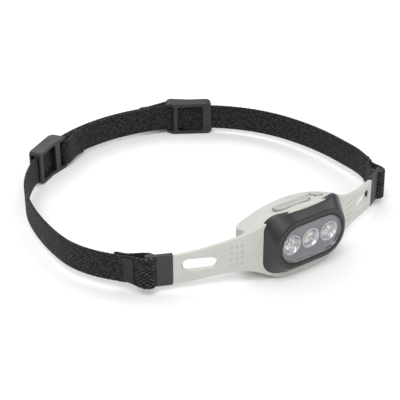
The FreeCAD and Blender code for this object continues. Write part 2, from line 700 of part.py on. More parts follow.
def cradle_cutters():
    fit = cell("fit")
    seat = rounded_prism(
        cell("bezel_half_width") + fit, cell("bezel_half_height") + fit,
        cell("bezel_corner") + fit, 2 * cell("front_depth"), 0, cell("lamp_level"))
    keep_behind = cylinder_round(front_radius - cell("bezel_seat") - fit, front_centre)
    cutters = [seat.cut(keep_behind)]
    barrel = cell("light_radius") + cell("barrel_wall") + fit
    cutters.append(stadium_prism(
        cell("lens_half_run"), barrel, front_place(0), cell("barrel_back") - fit,
        cell("front_depth")))
    cutters.append(stadium_prism(
        cell("wire_half_run"), cell("wire_radius"), front_place(0), 0, cell("front_depth")))
    cutters.append(rounded_prism(
        cell("case_half_width") + fit, (cell("case_high") - cell("case_low")) / 2 + fit,
        cell("case_corner") + fit, cell("case_front") + fit, -2 * cell("back_depth"), case_level))
    pocket = Part.makeBox(
        2 * (cell("switch_board_half_length") + fit), 2 * (cell("switch_board_half_width") + fit),
        board_drop + cell("board_thickness") + fit - button_drop - cell("skin"))
    pocket.Placement = board_place.multiply(Placement(Vector(
        -cell("switch_board_half_length") - fit, -cell("switch_board_half_width") - fit,
        -board_drop - cell("board_thickness") - fit), Rotation()))
    cutters.append(pocket)
    cutters.append(stadium_prism(
        cell("wire_half_run"), cell("wire_radius") / 2, Placement(board_place.Base, Rotation()),
        -board_place.Base.z + case_level, -board_drop))
    for half_run, radius, place in (
            (cell("power_half_run"), cell("power_radius"), power_place),
            (0, cell("mode_radius"), mode_place),
            (cell("lamp_window_half_run"), cell("lamp_window_radius"), indicator_place)):
        cutters.append(stadium_prism(
            half_run, radius + fit, place, -cell("indicator_length") - fit, cell("skin")))
    for half_run, radius, place in (
            (cell("power_half_run"), cell("power_radius"), power_place),
            (0, cell("mode_radius"), mode_place)):
        cutters.append(stadium_prism(
            half_run, radius + cell("flange") + fit, place,
            -cell("stem_reach") - cell("button_travel"), -cell("skin") - fit))
    for side in (1, -1):
        middle = (cell("slot_inner") + cell("slot_outer")) / 2
        radius = cell("slot_height") / 2
        half_run = (cell("slot_outer") - cell("slot_inner")) / 2 / along_arm.x - radius
        cutters.append(stadium_prism(
            half_run, radius, on_arm(side, middle, cell("slot_level")),
            -2 * cell("arm_thickness"), cell("arm_thickness")))
        tongue = Part.makeBox(
            cell("anchor_tongue") + fit + cell("arm_tip_radius"),
            cell("tongue_height") + 2 * fit, cell("tongue_thickness") + 2 * fit)
        tongue.Placement = on_arm(side, cell("arm_reach"), arm_level).multiply(Placement(Vector(
            -cell("anchor_tongue") - fit, -cell("tongue_height") / 2 - fit,
            -(cell("arm_thickness") + cell("tongue_thickness")) / 2 - fit), Rotation()))
        cutters.append(tongue)
        cutters += dimples(side)
    return cutters


def dimples(side):
    """A grip pattern of shallow round dimples on an arm's outer face."""
    found = []
    for column in range(3):
        for row in range(4):
            reach = cell("dimple_reach") - column * cell("dimple_pitch")
            level = (cell("dimple_level") + row * cell("dimple_rise")
                     + column * cell("dimple_lift"))
            dimple = Part.makeCylinder(cell("dimple_radius"), 2 * cell("dimple_depth"))
            dimple.Placement = on_arm(side, reach, level).multiply(
                Placement(Vector(0, 0, -cell("dimple_depth")), Rotation()))
            found.append(dimple)
    return found


def make_cradle():
    """The flexible cradle: the body's shell and both arms in one moulding."""
    shape = plan_solid().common(upper_solid()).common(lower_solid()).removeSplitter()
    outer = [edge for edge in shape.Edges if sharp_edge(shape, edge)]
    shape = shape.makeFillet(cell("edge_round"), outer)
    for cutter in cradle_cutters():
        shape = shape.cut(cutter)
    cradle = doc.addObject("Part::Feature", "cradle")
    cradle.Shape = shape.Solids[0]
    if len(shape.Solids) != 1:
        raise RuntimeError("the cradle has come apart")
    keep(cradle, "cradle", Placement())


# ---------------------------------------------------------------- front and optics

def make_bezel():
    """Front bezel: sloping sides up to a rounded rim, and a barrel behind for the optics."""
    body = new_body("bezel")
    base = sketch_on(body, "bezel_base", lift="sizes.bevel_back")
    rounded_box(base, "sizes.bevel_half_width", "sizes.bevel_half_height", "sizes.bevel_corner")
    rim = sketch_on(body, "bezel_rim", lift="sizes.rim_front")
    rounded_box(rim, "sizes.lens_half_run + sizes.rim_radius", "sizes.rim_radius",
                "sizes.rim_radius - sizes.slide_fit")
    doc.recompute()
    bevel = body.newObject("PartDesign::AdditiveLoft", "bezel_bevel")
    bevel.Profile = base
    bevel.Sections = [rim]
    bevel.Ruled = True
    doc.recompute()
    trim = sketch_on(body, "bezel_trim")
    box_outline(trim, "-2 * sizes.bevel_half_width", "2 * sizes.bevel_half_width",
                "-2 * sizes.bevel_half_height", "2 * sizes.bevel_half_height")
    rounded_box(trim, "sizes.bezel_half_width", "sizes.bezel_half_height", "sizes.bezel_corner")
    cut(body, trim, both=True)
    behind = sketch_on(body, "bezel_back", "XZ_Plane")
    circle(behind, "sizes.front_radius - sizes.bezel_seat", None,
           "sizes.front_depth - sizes.front_radius")
    cut(body, behind, both=True)
    at_rim = edges_where(body.Shape, lambda middle, edge: (
        edge.BoundBox.ZMin > cell("rim_front") - 0.01))
    fillet(body, body.Tip, at_rim, "sizes.rim_round")
    ahead = cell("front_radius") - cell("bezel_seat") / 2
    at_side = edges_where(body.Shape, lambda middle, edge: (
        math.hypot(middle.x, middle.z + front_centre.y) > ahead
        and math.hypot(middle.x, middle.y) > cell("rim_radius") + cell("rim_round")
        and edge.BoundBox.ZMax < cell("rim_front") - cell("rim_round") - 0.01
        and sharp_edge(body.Shape, edge)))
    fillet(body, body.Tip, at_side, "sizes.bevel_round")
    barrel = sketch_on(body, "bezel_barrel", lift="sizes.barrel_back")
    stadium(barrel, "sizes.lens_half_run", BARREL)
    pad(body, barrel, "sizes.front_depth - sizes.barrel_back")
    seat = sketch_on(body, "bezel_lens_seat", lift="sizes.rim_front")
    stadium(seat, "sizes.lens_half_run", LENS_SEAT)
    cut(body, seat, "sizes.lens_thickness + sizes.fit")
    opening = sketch_on(body, "bezel_opening", lift="sizes.rim_front")
    stadium(opening, "sizes.lens_half_run", "sizes.light_radius")
    cut(body, opening, "sizes.rim_front")
    keep(body, "bezel", front_place(0))


def make_lens():
    body = new_body("lens")
    outline = sketch_on(body, "lens_outline")
    stadium(outline, "sizes.lens_half_run", "sizes.lens_radius")
    pad(body, outline, "sizes.lens_thickness")
    keep(body, "lens", front_place(cell("lens_thickness") - cell("rim_front")))


def make_lens_gasket():
    body = new_body("lens_gasket")
    outline = sketch_on(body, "gasket_outline")
    stadium(outline, "sizes.lens_half_run",
            "sizes.lens_radius + sizes.gasket_width + sizes.fit")
    stadium(outline, "sizes.lens_half_run", "sizes.lens_radius + sizes.fit")
    pad(body, outline, "sizes.lens_thickness")
    keep(body, "lens_gasket", front_place(cell("lens_thickness") - cell("rim_front")))


def make_optic_plate():
    """The plate behind the lens, with a hole for each reflector's mouth."""
    body = new_body("optic_plate")
    outline = sketch_on(body, "plate_outline")
    stadium(outline, "sizes.lens_half_run", "sizes.light_radius - sizes.fit")
    pad(body, outline, "sizes.plate_thickness")
    holes = sketch_on(body, "plate_holes", lift="sizes.plate_thickness")
    hole_radius = "sizes.reflector_radius + sizes.fit"
    circle(holes, hole_radius)
    circle(holes, hole_radius, "sizes.reflector_pitch")
    circle(holes, hole_radius, "-sizes.reflector_pitch")
    cut(body, holes)
    keep(body, "optic_plate", front_place(cell("plate_thickness") - plate_front))


def make_reflector(name, x):
    """A deep parabola-like cup, open at its mouth and at the light chip."""
    body = new_body(name)
    profile = sketch_on(body, name + "_profile", "XZ_Plane")
    throat = "sizes.led_side * 0.75"
    mouth = "sizes.reflector_radius"
    waist = "sizes.led_side * 0.75 + (sizes.reflector_radius - sizes.led_side * 0.75) * 0.66"
    wall = " - sizes.reflector_wall"
    polygon(profile, [
        (throat, "0"), (waist, "sizes.reflector_depth * 0.4"),
        (mouth, "sizes.reflector_depth"), (mouth + wall, "sizes.reflector_depth"),
        (waist + wall, "sizes.reflector_depth * 0.4"), (throat + wall, "0")])
    doc.recompute()
    cup = body.newObject("PartDesign::Revolution", name + "_cup")
    cup.Profile = profile
    cup.ReferenceAxis = (profile, ["V_Axis"])
    cup.Angle = 360
    doc.recompute()
    keep(body, name, front_place(-reflector_base, x))


def make_led(name, x):
    """A light chip: a square base with a domed lens on it."""
    body = new_body(name)
    base = sketch_on(body, name + "_base")
    half = "sizes.led_side / 2"
    box_outline(base, "-" + half, half, "-" + half, half)
    pad(body, base, "sizes.led_height / 2")
    dome = sketch_on(body, name + "_dome", lift="sizes.led_height / 2")
    circle(dome, "sizes.led_side * 0.42")
    pad(body, dome, "sizes.led_height / 2")
    keep(body, name, front_place(-light_board_front, x))


def make_led_board():
    body = new_body("led_board")
    outline = sketch_on(body, "light_board_outline")
    stadium(outline, "sizes.lens_half_run", "sizes.light_radius - sizes.fit")
    pad(body, outline, "sizes.led_board_thickness")
    keep(body, "led_board", front_place(cell("led_board_thickness") - light_board_front))


# ---------------------------------------------------------------- case and what it holds

HALF_CASE = "(sizes.case_high - sizes.case_low) / 2"
SCREW_OUT = "sizes.case_half_width - sizes.boss_inset"
SCREW_UP = HALF_CASE + " - sizes.boss_inset"
SEAL_BACK = cell("case_back") + cell("case_seal")
COVER_BACK = SEAL_BACK + cell("cover_thickness")


def case_outline(sketch, inset="0"):
    rounded_box(sketch, "sizes.case_half_width - " + inset, HALF_CASE + " - " + inset,
                "sizes.case_corner - " + inset)


def at_screws(sketch, radius):
    """Four circles, one on each screw's axis."""
    for across in ("", "-1 * "):
        for along in ("", "-1 * "):
            circle(sketch, radius, across + "(" + SCREW_OUT + ")", along + "(" + SCREW_UP + ")")


def port_outline(sketch, margin, level):
    """The charging port's rounded outline, with a margin all round."""
    half = "sizes.port_width / 2 + " + margin
    tall = "sizes.port_height / 2 + " + margin
    box_outline(sketch, "sizes.port_offset - (" + half + ")", "sizes.port_offset + " + half,
                level + " - (" + tall + ")", level + " + " + tall)


PORT_LEVEL = "sizes.board_level - sizes.port_height / 2"
PORT_IN_CASE = "(" + PORT_LEVEL + " - (sizes.case_high + sizes.case_low) / 2)"


def make_case():
    """A tub, open at the back, with four screw bosses."""
    body = new_body("case")
    outline = sketch_on(body, "case_outline")
    case_outline(outline)
    pad(body, outline, "sizes.case_back + sizes.case_front")
    inside = sketch_on(body, "case_inside")
    case_outline(inside, "sizes.case_wall")
    cut(body, inside, "sizes.case_back + sizes.case_front - sizes.case_wall", backwards=True)
    bosses = sketch_on(body, "case_bosses")
    at_screws(bosses, "sizes.boss_radius")
    pad(body, bosses, "sizes.case_back + sizes.case_front - sizes.case_wall / 2")
    threads = sketch_on(body, "case_threads")
    at_screws(threads, "sizes.screw_radius + sizes.slide_fit")
    cut(body, threads, "sizes.screw_length", backwards=True)
    wires = sketch_on(body, "case_wires", lift="sizes.case_back + sizes.case_front")
    half = "sizes.wire_half_run + sizes.wire_radius"
    level = "(sizes.lamp_level - (sizes.case_high + sizes.case_low) / 2)"
    box_outline(wires, "-(" + half + ")", half,
                level + " - sizes.wire_radius", level + " + sizes.wire_radius")
    cut(body, wires, "2 * sizes.case_wall")
    keep(body, "case", front_place(cell("case_back"), 0, case_level))


def make_back_seal():
    body = new_body("back_seal")
    outline = sketch_on(body, "seal_outline")
    case_outline(outline)
    case_outline(outline, "sizes.case_wall")
    pad(body, outline, "sizes.case_seal")
    keep(body, "back_seal", front_place(SEAL_BACK, 0, case_level))


def make_back_cover():
    """The case's back: countersunk screws and a recess round the charging port."""
    body = new_body("back_cover")
    outline = sketch_on(body, "cover_outline")
    case_outline(outline)
    pad(body, outline, "sizes.cover_thickness")
    holes = sketch_on(body, "cover_holes")
    at_screws(holes, "sizes.screw_radius + sizes.slide_fit")
    cut(body, holes, backwards=True)
    heads = sketch_on(body, "cover_heads")
    at_screws(heads, "sizes.screw_head_radius + sizes.fit")
    cut(body, heads, "sizes.screw_head", backwards=True)
    recess = sketch_on(body, "cover_recess")
    port_outline(recess, "sizes.flap_margin + 2 * sizes.fit", PORT_IN_CASE)
    cut(body, recess, "sizes.flap_recess", backwards=True)
    window = sketch_on(body, "cover_port")
    port_outline(window, "sizes.fit", PORT_IN_CASE)
    cut(body, window, backwards=True)
    keep(body, "back_cover", front_place(COVER_BACK, 0, case_level))


def make_screws():
    """Four pan-head screws: shanks and heads on the same four axes."""
    body = new_body("screws")
    heads = sketch_on(body, "screw_heads")
    at_screws(heads, "sizes.screw_head_radius")
    pad(body, heads, "sizes.screw_head - sizes.fit")
    shanks = sketch_on(body, "screw_shanks")
    at_screws(shanks, "sizes.screw_radius")
    pad(body, shanks, "sizes.screw_length")
    slots = sketch_on(body, "screw_sockets")
    at_screws(slots, "sizes.screw_radius * 0.75")
    cut(body, slots, "sizes.screw_head / 2", backwards=True)
    keep(body, "screws", front_place(COVER_BACK - cell("fit"), 0, case_level))


def block(label, size, corner):
    """A plain block: three formulas for its size, and the place of its lowest corner."""
    box = doc.addObject("Part::Box", label)
    for name, text in zip(("Length", "Width", "Height"), size):
        box.setExpression(name, text)
    keep(box, label, Placement(corner, Rotation()))


def make_battery():
    pad_y = cell("case_wall") + cell("fit") - cell("case_front")
    low = cell("case_low") + cell("case_wall") + cell("fit")
    block("battery_pad", ("sizes.cell_width", "sizes.cell_pad", "sizes.cell_height"),
          Vector(-cell("cell_width") / 2, pad_y, low))
    body = new_body("battery_cell")
    outline = sketch_on(body, "cell_outline", "XZ_Plane")
    rounded_box(outline, "sizes.cell_width / 2", "sizes.cell_depth / 2", "sizes.cell_depth / 3")
    pad(body, outline, "sizes.cell_height", both=True)
    middle = pad_y + cell("cell_pad") + cell("cell_depth") / 2 + cell("fit")
    keep(body, "battery_cell", Placement(
        Vector(0, middle, low + cell("cell_height") / 2), Rotation(Vector(1, 0, 0), 90)))


def make_main_board():
    front = cell("case_front") - cell("case_wall") - 2 * cell("fit")
    block("main_board",
          ("2 * sizes.board_half_width",
           "sizes.case_front + sizes.case_back - sizes.case_wall - 4 * sizes.fit",
           "sizes.board_thickness"),
          Vector(-cell("board_half_width"), -front, cell("board_level")))


def make_button_board():
    body = new_body("button_board")
    outline = sketch_on(body, "button_board_outline")
    rounded_box(outline, "sizes.switch_board_half_length", "sizes.switch_board_half_width",
                "sizes.board_thickness")
    pad(body, outline, "sizes.board_thickness")
    place = Placement(Vector(0, 0, -board_drop - cell("board_thickness")), Rotation())
    keep(body, "button_board", board_place.multiply(place))


def make_switch(label, button_place):
    """A tactile switch, on the board under its button."""
    body = new_body(label)
    base = sketch_on(body, label + "_base")
    half = "sizes.switch_side / 2"
    box_outline(base, "-" + half, half, "-" + half, half)
    pad(body, base, "sizes.switch_height * 0.7")
    plunger = sketch_on(body, label + "_plunger", lift="sizes.switch_height * 0.7")
    circle(plunger, "sizes.stem_radius * 0.8")
    pad(body, plunger, "sizes.switch_height * 0.3")
    tip = board_place.inverse().multVec(
        button_place.multVec(Vector(0, 0, -cell("stem_reach"))))
    keep(body, label, board_place.multiply(
        Placement(Vector(tip.x, tip.y, -board_drop), Rotation())))


def button_features(body, name, outline):
    """Cap, hidden flange and stem of a push button about its own axis."""
    cap = sketch_on(body, name + "_cap", lift="-sizes.skin - 2 * sizes.fit")
    outline(cap, "")
    pad(body, cap, "sizes.skin + 2 * sizes.fit + sizes.button_proud")
    crown = edges_where(body.Shape, lambda middle, edge: middle.z > cell("button_proud") - 0.01)
    fillet(body, body.Tip, crown, "sizes.button_proud * 0.6")
    flange = sketch_on(body, name + "_flange",
                       lift="-sizes.skin - 2 * sizes.fit - sizes.flange")
    outline(flange, " + sizes.flange")
    pad(body, flange, "sizes.flange")
    stem = sketch_on(body, name + "_stem", lift="-sizes.stem_reach")
    circle(stem, "sizes.stem_radius")
    pad(body, stem, "sizes.stem_reach - sizes.skin")


def make_power_button():
    """The long button."""
    body = new_body("power_button")
    button_features(body, "power_button", lambda sketch, more: stadium(
        sketch, "sizes.power_half_run", "sizes.power_radius" + more))
    keep(body, "power_button", power_place)


def make_mode_button():
    body = new_body("mode_button")
    button_features(body, "mode_button", lambda sketch, more: circle(
        sketch, "sizes.mode_radius" + more))
    keep(body, "mode_button", mode_place)


def make_indicator():
    """The charge light's window, flush with the top."""
    body = new_body("indicator_window")
    outline = sketch_on(body, "indicator_outline", lift="-sizes.indicator_length")
    stadium(outline, "sizes.lamp_window_half_run", "sizes.lamp_window_radius")
    pad(body, outline, "sizes.indicator_length")
    keep(body, "indicator_window", indicator_place)


def make_charge_socket():
    """The charging socket: a rounded metal shell with a tongue inside."""
    body = new_body("charge_socket")
    shell = sketch_on(body, "socket_shell")
    rounded_box(shell, "sizes.port_width / 2", "sizes.port_height / 2", "sizes.port_height * 0.45")
    pad(body, shell, "sizes.port_depth")
    mouth = sketch_on(body, "socket_mouth")
    rounded_box(mouth, "sizes.port_width / 2 - sizes.port_shell",
                "sizes.port_height / 2 - sizes.port_shell",
                "sizes.port_height * 0.45 - sizes.port_shell")
    cut(body, mouth, "sizes.port_depth * 0.85", backwards=True)
    tongue = sketch_on(body, "socket_tongue", lift="sizes.port_depth * 0.1")
    box_outline(tongue, "-sizes.port_width * 0.36", "sizes.port_width * 0.36",
                "-sizes.port_height * 0.11", "sizes.port_height * 0.11")
    pad(body, tongue, "sizes.port_depth * 0.8")
    level = cell("board_level") - cell("port_height") / 2
    keep(body, "charge_socket",
         front_place(COVER_BACK - cell("flap_recess"), cell("port_offset"), level))


def make_port_cover():
    """The port's hinged cover: a plate on a round hinge bead along its lower edge."""
    body = new_body("port_cover")
    half = "(sizes.port_width / 2 + sizes.flap_margin)"
    plate = sketch_on(body, "port_cover_plate", lift="-sizes.flap_thickness / 2")
    box_outline(plate, "-" + half, half, "0",
                "sizes.port_height + 2 * sizes.flap_margin - sizes.flap_thickness / 2")
    pad(body, plate, "sizes.flap_thickness")
    bead = sketch_on(body, "port_cover_bead", "YZ_Plane")
    circle(bead, "sizes.flap_thickness / 2")
    pad(body, bead, "2 * " + half, both=True)
    floor = COVER_BACK - cell("flap_recess")
    level = cell("board_level") - cell("port_height") - cell("flap_margin")
    half_thick = cell("flap_thickness") / 2
    keep(body, "port_cover", Placement(
        Vector(cell("port_offset"), floor + cell("fit") + half_thick, level + half_thick),
        FACING_BACK))


# ---------------------------------------------------------------- anchors

def make_anchor(label, side):
    """A band anchor: a tongue in the arm end, a plate, a slot and a round post."""
    body = new_body(label)
    plan = sketch_on(body, label + "_plan")
    run = "sizes.anchor_plate + sizes.anchor_slot + sizes.post_radius"
    half = "sizes.arm_thickness / 2"
    box_outline(plan, "0", run, "-" + half, half)
    pad(body, plan, "sizes.anchor_height", both=True)
    post_sketch = sketch_on(body, label + "_post")
    circle(post_sketch, "sizes.post_radius", run)
    pad(body, post_sketch, "sizes.anchor_height", both=True)
    slot = sketch_on(body, label + "_slot")
    box_outline(slot, "sizes.anchor_plate", "2 * (" + run + ")",
                "-2 * sizes.arm_thickness", "2 * sizes.arm_thickness")
    circle(slot, "sizes.post_radius", run)
    cut(body, slot, "sizes.band_width + 2 * sizes.slot_room", both=True)
    tongue = sketch_on(body, label + "_tongue")
    box_outline(tongue, "-sizes.anchor_tongue", "sizes.anchor_plate / 4",
                "-sizes.tongue_thickness / 2", "sizes.tongue_thickness / 2")
    pad(body, tongue, "sizes.tongue_height", both=True)
    corners = edges_where(body.Shape, lambda middle, edge: (
        abs(abs(middle.z) - cell("anchor_height") / 2) < 0.01
        and abs(abs(middle.y) - cell("arm_thickness") / 2) < 0.01))
    fillet(body, body.Tip, corners, "sizes.anchor_round")
    turn = math.degrees(arm_angle) if side > 0 else 180 - math.degrees(arm_angle)
    gap = along_arm * cell("slide_fit")
    place = Placement(Vector(side * (arm_end + gap).x, (arm_end + gap).y, arm_level),
                      Rotation(UP, turn))
    keep(body, label, place)


# ---------------------------------------------------------------- band and adjusters

layer_step = (cell("layer_gap") + cell("band_thickness")) / 2
half_band = cell("band_thickness") / 2
loop_inner = cell("post_radius") + cell("post_gap")
loop_outer = loop_inner + cell("band_thickness")
half_gap = (cell("adjuster_travel") + cell("fit")) / 2
far_corner = back_centre.y + (cell("back_radius") + 2 * layer_step) * math.cos(
    math.radians(90 - cell("adjuster_left") + 2 * half_gap))
lean = math.degrees(math.asin(
    (arm_level - adjuster_height / 2) / (far_corner + cell("adjuster_half") / 2 - post.y)))
TILT = Placement(Vector(0, 0, 0), Rotation(Vector(1, 0, 0), -lean),
                 Vector(0, post.y, arm_level))


def on_back(degrees, offset=0.0):
    """A point on the back curve, by its bearing from the curve's centre."""
    return back_centre + heading(degrees) * (cell("back_radius") + offset)


def anchor_fold(side):
    """The fold round an anchor's post, the sewn double band, and where the single band starts."""
    leave = cell("right_leave") if side > 0 else 180 - cell("left_leave")
    along = heading(leave)
    out = heading(leave - side * 90)
    centre = Vector(side * post.x, post.y, 0)
    seam = centre + along * cell("fold_length")
    wide = cell("band_thickness")
    left = heading(leave + 90) * wide
    face = loop(centre, loop_inner, loop_outer, seam + left, seam - left,
                seam - along * cell("band_thickness"))
    double = ribbon([straight(seam, leave, cell("seam_length"))], wide, wide)
    start = seam + out * half_band
    return face.fuse(double), start, leave


def front_band(side, end_degrees, offset):
    """A band from its anchor's fold, round the side of the head and on to the back curve."""
    fold, start, leave = anchor_fold(side)
    name = "right" if side > 0 else "left"
    reach = Vector(side * cell(name + "_reach"), cell(name + "_reach_y"), 0)
    join = cell("back_" + name)
    seam = straight(start, leave, cell("seam_length"))
    arrive = join + side * 90
    end = on_back(end_degrees, offset)
    path = [seam]
    path += two_arcs(seam[2][0], leave, reach, 90)
    path += two_arcs(reach, 90, on_back(join, offset), arrive)
    path.append(arc_to(on_back(join, offset), arrive, end))
    return fold.fuse(ribbon(path, half_band, half_band))


def adjuster_place(bearing, side):
    """An adjuster's place on the back curve: +X towards the other one, +Y to its post's side."""
    towards = heading(bearing + side * 90)
    rotation = Rotation(towards, heading(bearing) * side, UP * -1, "XYZ")
    return Placement(on_back(bearing), rotation)


def back_band(start_degrees, adjuster_degrees, offset, side):
    """A band along the back curve to its fold round an adjuster's post."""
    turn = -side
    outer = cell("adjuster_post") + cell("post_gap") + cell("band_thickness")
    inner = cell("adjuster_post") + cell("post_gap")
    post_run = cell("adjuster_post_run")
    bow = post_run ** 2 / 2 / cell("back_radius")
    post_out = cell("layer_gap") / 2 + cell("band_thickness") + bow + inner
    centre = adjuster_place(adjuster_degrees, side).multVec(Vector(post_run, post_out, 0))
    per_mm = math.degrees(1 / cell("back_radius"))
    post_degrees = adjuster_degrees + side * post_run * per_mm
    seam_at = post_degrees - turn * cell("fold_length") * per_mm
    tail_at = post_degrees - turn * (cell("fold_length") + cell("seam_length")) * per_mm
    main = ribbon([arc_to(on_back(start_degrees, offset), start_degrees + turn * 90,
                          on_back(seam_at, offset))], half_band, half_band)
    low = on_back(seam_at, offset - side * half_band)
    high = on_back(seam_at, offset + side * 3 * half_band)
    apex = on_back(seam_at + turn * cell("band_thickness") * per_mm, offset + side * half_band)
    fold = loop(centre, inner, outer, low, high, apex)
    double = ribbon([arc_to(on_back(tail_at, offset + side * 2 * half_band),
                            tail_at + turn * 90,
                            on_back(seam_at, offset + side * 2 * half_band))],
                    half_band, half_band)
    return main.fuse(fold).fuse(double)


def keep_band(label, shape):
    """Set a band at its level, and lean it with the rest of the loop."""
    solid = shape.removeSplitter()
    if len(solid.Solids) != 1:
        raise RuntimeError(label + " isn't one solid")
    band = doc.addObject("Part::Feature", label)
    band.Shape = solid.Solids[0]
    level = Placement(Vector(0, 0, arm_level - cell("band_width") / 2), Rotation())
    keep(band, label, TILT.multiply(level))


def make_bands():
    at_left = cell("adjuster_left")
    at_right = cell("adjuster_right")
    keep_band("band_left", front_band(-1, at_left + half_gap, layer_step))
    keep_band("band_right", front_band(1, at_right - half_gap, -layer_step))
    keep_band("band_left_back",
              back_band(at_left - half_gap, at_right, layer_step, 1))
    keep_band("band_right_back",
              back_band(at_right + half_gap, at_left, -layer_step, -1))


CHANNEL = "(sizes.layer_gap / 2 + sizes.band_thickness)"
BOW = "(sizes.adjuster_half * sizes.adjuster_half / 2 / sizes.back_radius)"
PLATE_FACE = "(" + CHANNEL + " + " + BOW + " + sizes.band_room)"
BRIDGE_FACE = "(sizes.layer_gap / 2 + " + BOW + " + sizes.band_room)"
POST_BOW = "(sizes.adjuster_post_run * sizes.adjuster_post_run / 2 / sizes.back_radius)"
POST_OUT = "(" + CHANNEL + " + " + POST_BOW + " + sizes.post_gap + sizes.adjuster_post)"


def make_adjuster(label, bearing, side):
    """A slide adjuster: two rails joined by a plate's bars, two bridges and the band post."""
    body = new_body(label)
    end = "sizes.adjuster_half"
    back = "-" + PLATE_FACE
    outer = "-(" + PLATE_FACE + " + sizes.adjuster_plate)"
    bridge_top = "(" + BRIDGE_FACE + " + sizes.adjuster_bridge)"
    wide = "-sizes.adjuster_half + sizes.adjuster_wide_bar"
    thin = wide + " + sizes.adjuster_window"
    thin_end = thin + " + sizes.adjuster_thin_bar"
    post_top = POST_OUT + " + sizes.adjuster_post"
    plan = sketch_on(body, label + "_plan")
    polygon(plan, [
        ("-" + end, outer), (thin_end, outer), (end, "-" + CHANNEL), (end, post_top),
        ("sizes.adjuster_post_run - 2 * sizes.adjuster_post", post_top), ("0", bridge_top),
        ("-" + end, bridge_top)])
    half_height = "(sizes.band_width / 2 + sizes.slot_room + sizes.adjuster_rail)"
    pad(body, plan, "2 * " + half_height, both=True)
    upright_edges = edges_where(body.Shape, lambda middle, edge: (
        edge.BoundBox.ZLength > 1 and abs(abs(middle.x) - cell("adjuster_half")) < 0.01))
    fillet(body, body.Tip, upright_edges, "sizes.adjuster_plate * 0.7")
    corners = sketch_on(body, label + "_corners", "XZ_Plane")
    far = "2 * sizes.adjuster_half"
    box_outline(corners, "-" + far, far, "-" + far, far)
    rounded_box(corners, end, half_height, "sizes.adjuster_corner")
    cut(body, corners, both=True)
    channel = sketch_on(body, label + "_channel")
    box_outline(channel, "-" + far, far, "-" + far, far)
    box_outline(channel, "-" + far + " + sizes.band_thickness", wide,
                "-" + far + " + sizes.band_thickness", back)
    box_outline(channel, thin, thin_end, "-" + far + " + sizes.band_thickness", back)
    circle(channel, "sizes.adjuster_post", "sizes.adjuster_post_run", POST_OUT)
    mid_end = "sizes.adjuster_mid_bridge_run + sizes.adjuster_mid_bridge"
    top = far + " - sizes.band_thickness"
    box_outline(channel, "sizes.adjuster_mid_bridge_run", mid_end, BRIDGE_FACE, top)
    box_outline(channel, "-" + far + " + sizes.band_thickness",
                "-sizes.adjuster_half + sizes.adjuster_end_bridge", BRIDGE_FACE, top)
    cut(body, channel, "sizes.band_width + 2 * sizes.slot_room", both=True)
    slot_half = cell("band_width") / 2 + cell("slot_room")
    window_left = -cell("adjuster_half") + cell("adjuster_wide_bar")
    window_middle = window_left + cell("adjuster_window") / 2
    window_edges = edges_where(body.Shape, lambda middle, edge: (
        abs(abs(middle.z) - slot_half) < 0.01 and edge.BoundBox.YLength > 1
        and abs(abs(middle.x - window_middle) - cell("adjuster_window") / 2) < 0.01))
    fillet(body, body.Tip, window_edges, "sizes.window_corner")
    level = Placement(UP * arm_level, Rotation())
    keep(body, label, TILT.multiply(level).multiply(adjuster_place(bearing, side)))


# ---------------------------------------------------------------- build, check and write

make_cradle()
make_bezel()
make_lens()
make_lens_gasket()
make_optic_plate()
for spot, step in (("left", -1), ("middle", 0), ("right", 1)):
    make_reflector("reflector_" + spot, step * cell("reflector_pitch"))
    make_led("led_" + spot, step * cell("reflector_pitch"))
make_led_board()
make_case()
make_back_seal()
make_back_cover()
make_screws()
make_battery()
make_main_board()
make_button_board()
make_switch("power_switch", power_place)
make_switch("mode_switch", mode_place)
make_power_button()
make_mode_button()
make_indicator()
make_charge_socket()
make_port_cover()
make_anchor("anchor_left", -1)
make_anchor("anchor_right", 1)
make_bands()
make_adjuster("adjuster_left", cell("adjuster_left"), -1)
make_adjuster("adjuster_right", cell("adjuster_right"), 1)

doc.recompute()
for item in doc.Objects:
    if "Invalid" in item.State or "Error" in item.State:
        raise RuntimeError(item.Label + " failed to build")
for part in PARTS:
    if part.Shape.isNull() or not part.Shape.isValid() or not part.Shape.Solids:
        raise RuntimeError(part.Label + " has no valid solid")

os.makedirs("parts", exist_ok=True)
for part in PARTS:
    part.Shape.exportStep(os.path.join("parts", part.Label + ".step"))
    print(part.Label, len(part.Shape.Solids), round(part.Shape.Volume, 1))
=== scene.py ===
import json
import math

import bpy
from bpy.props import FloatProperty, FloatVectorProperty, IntProperty, PointerProperty
from mathutils import Matrix, Vector


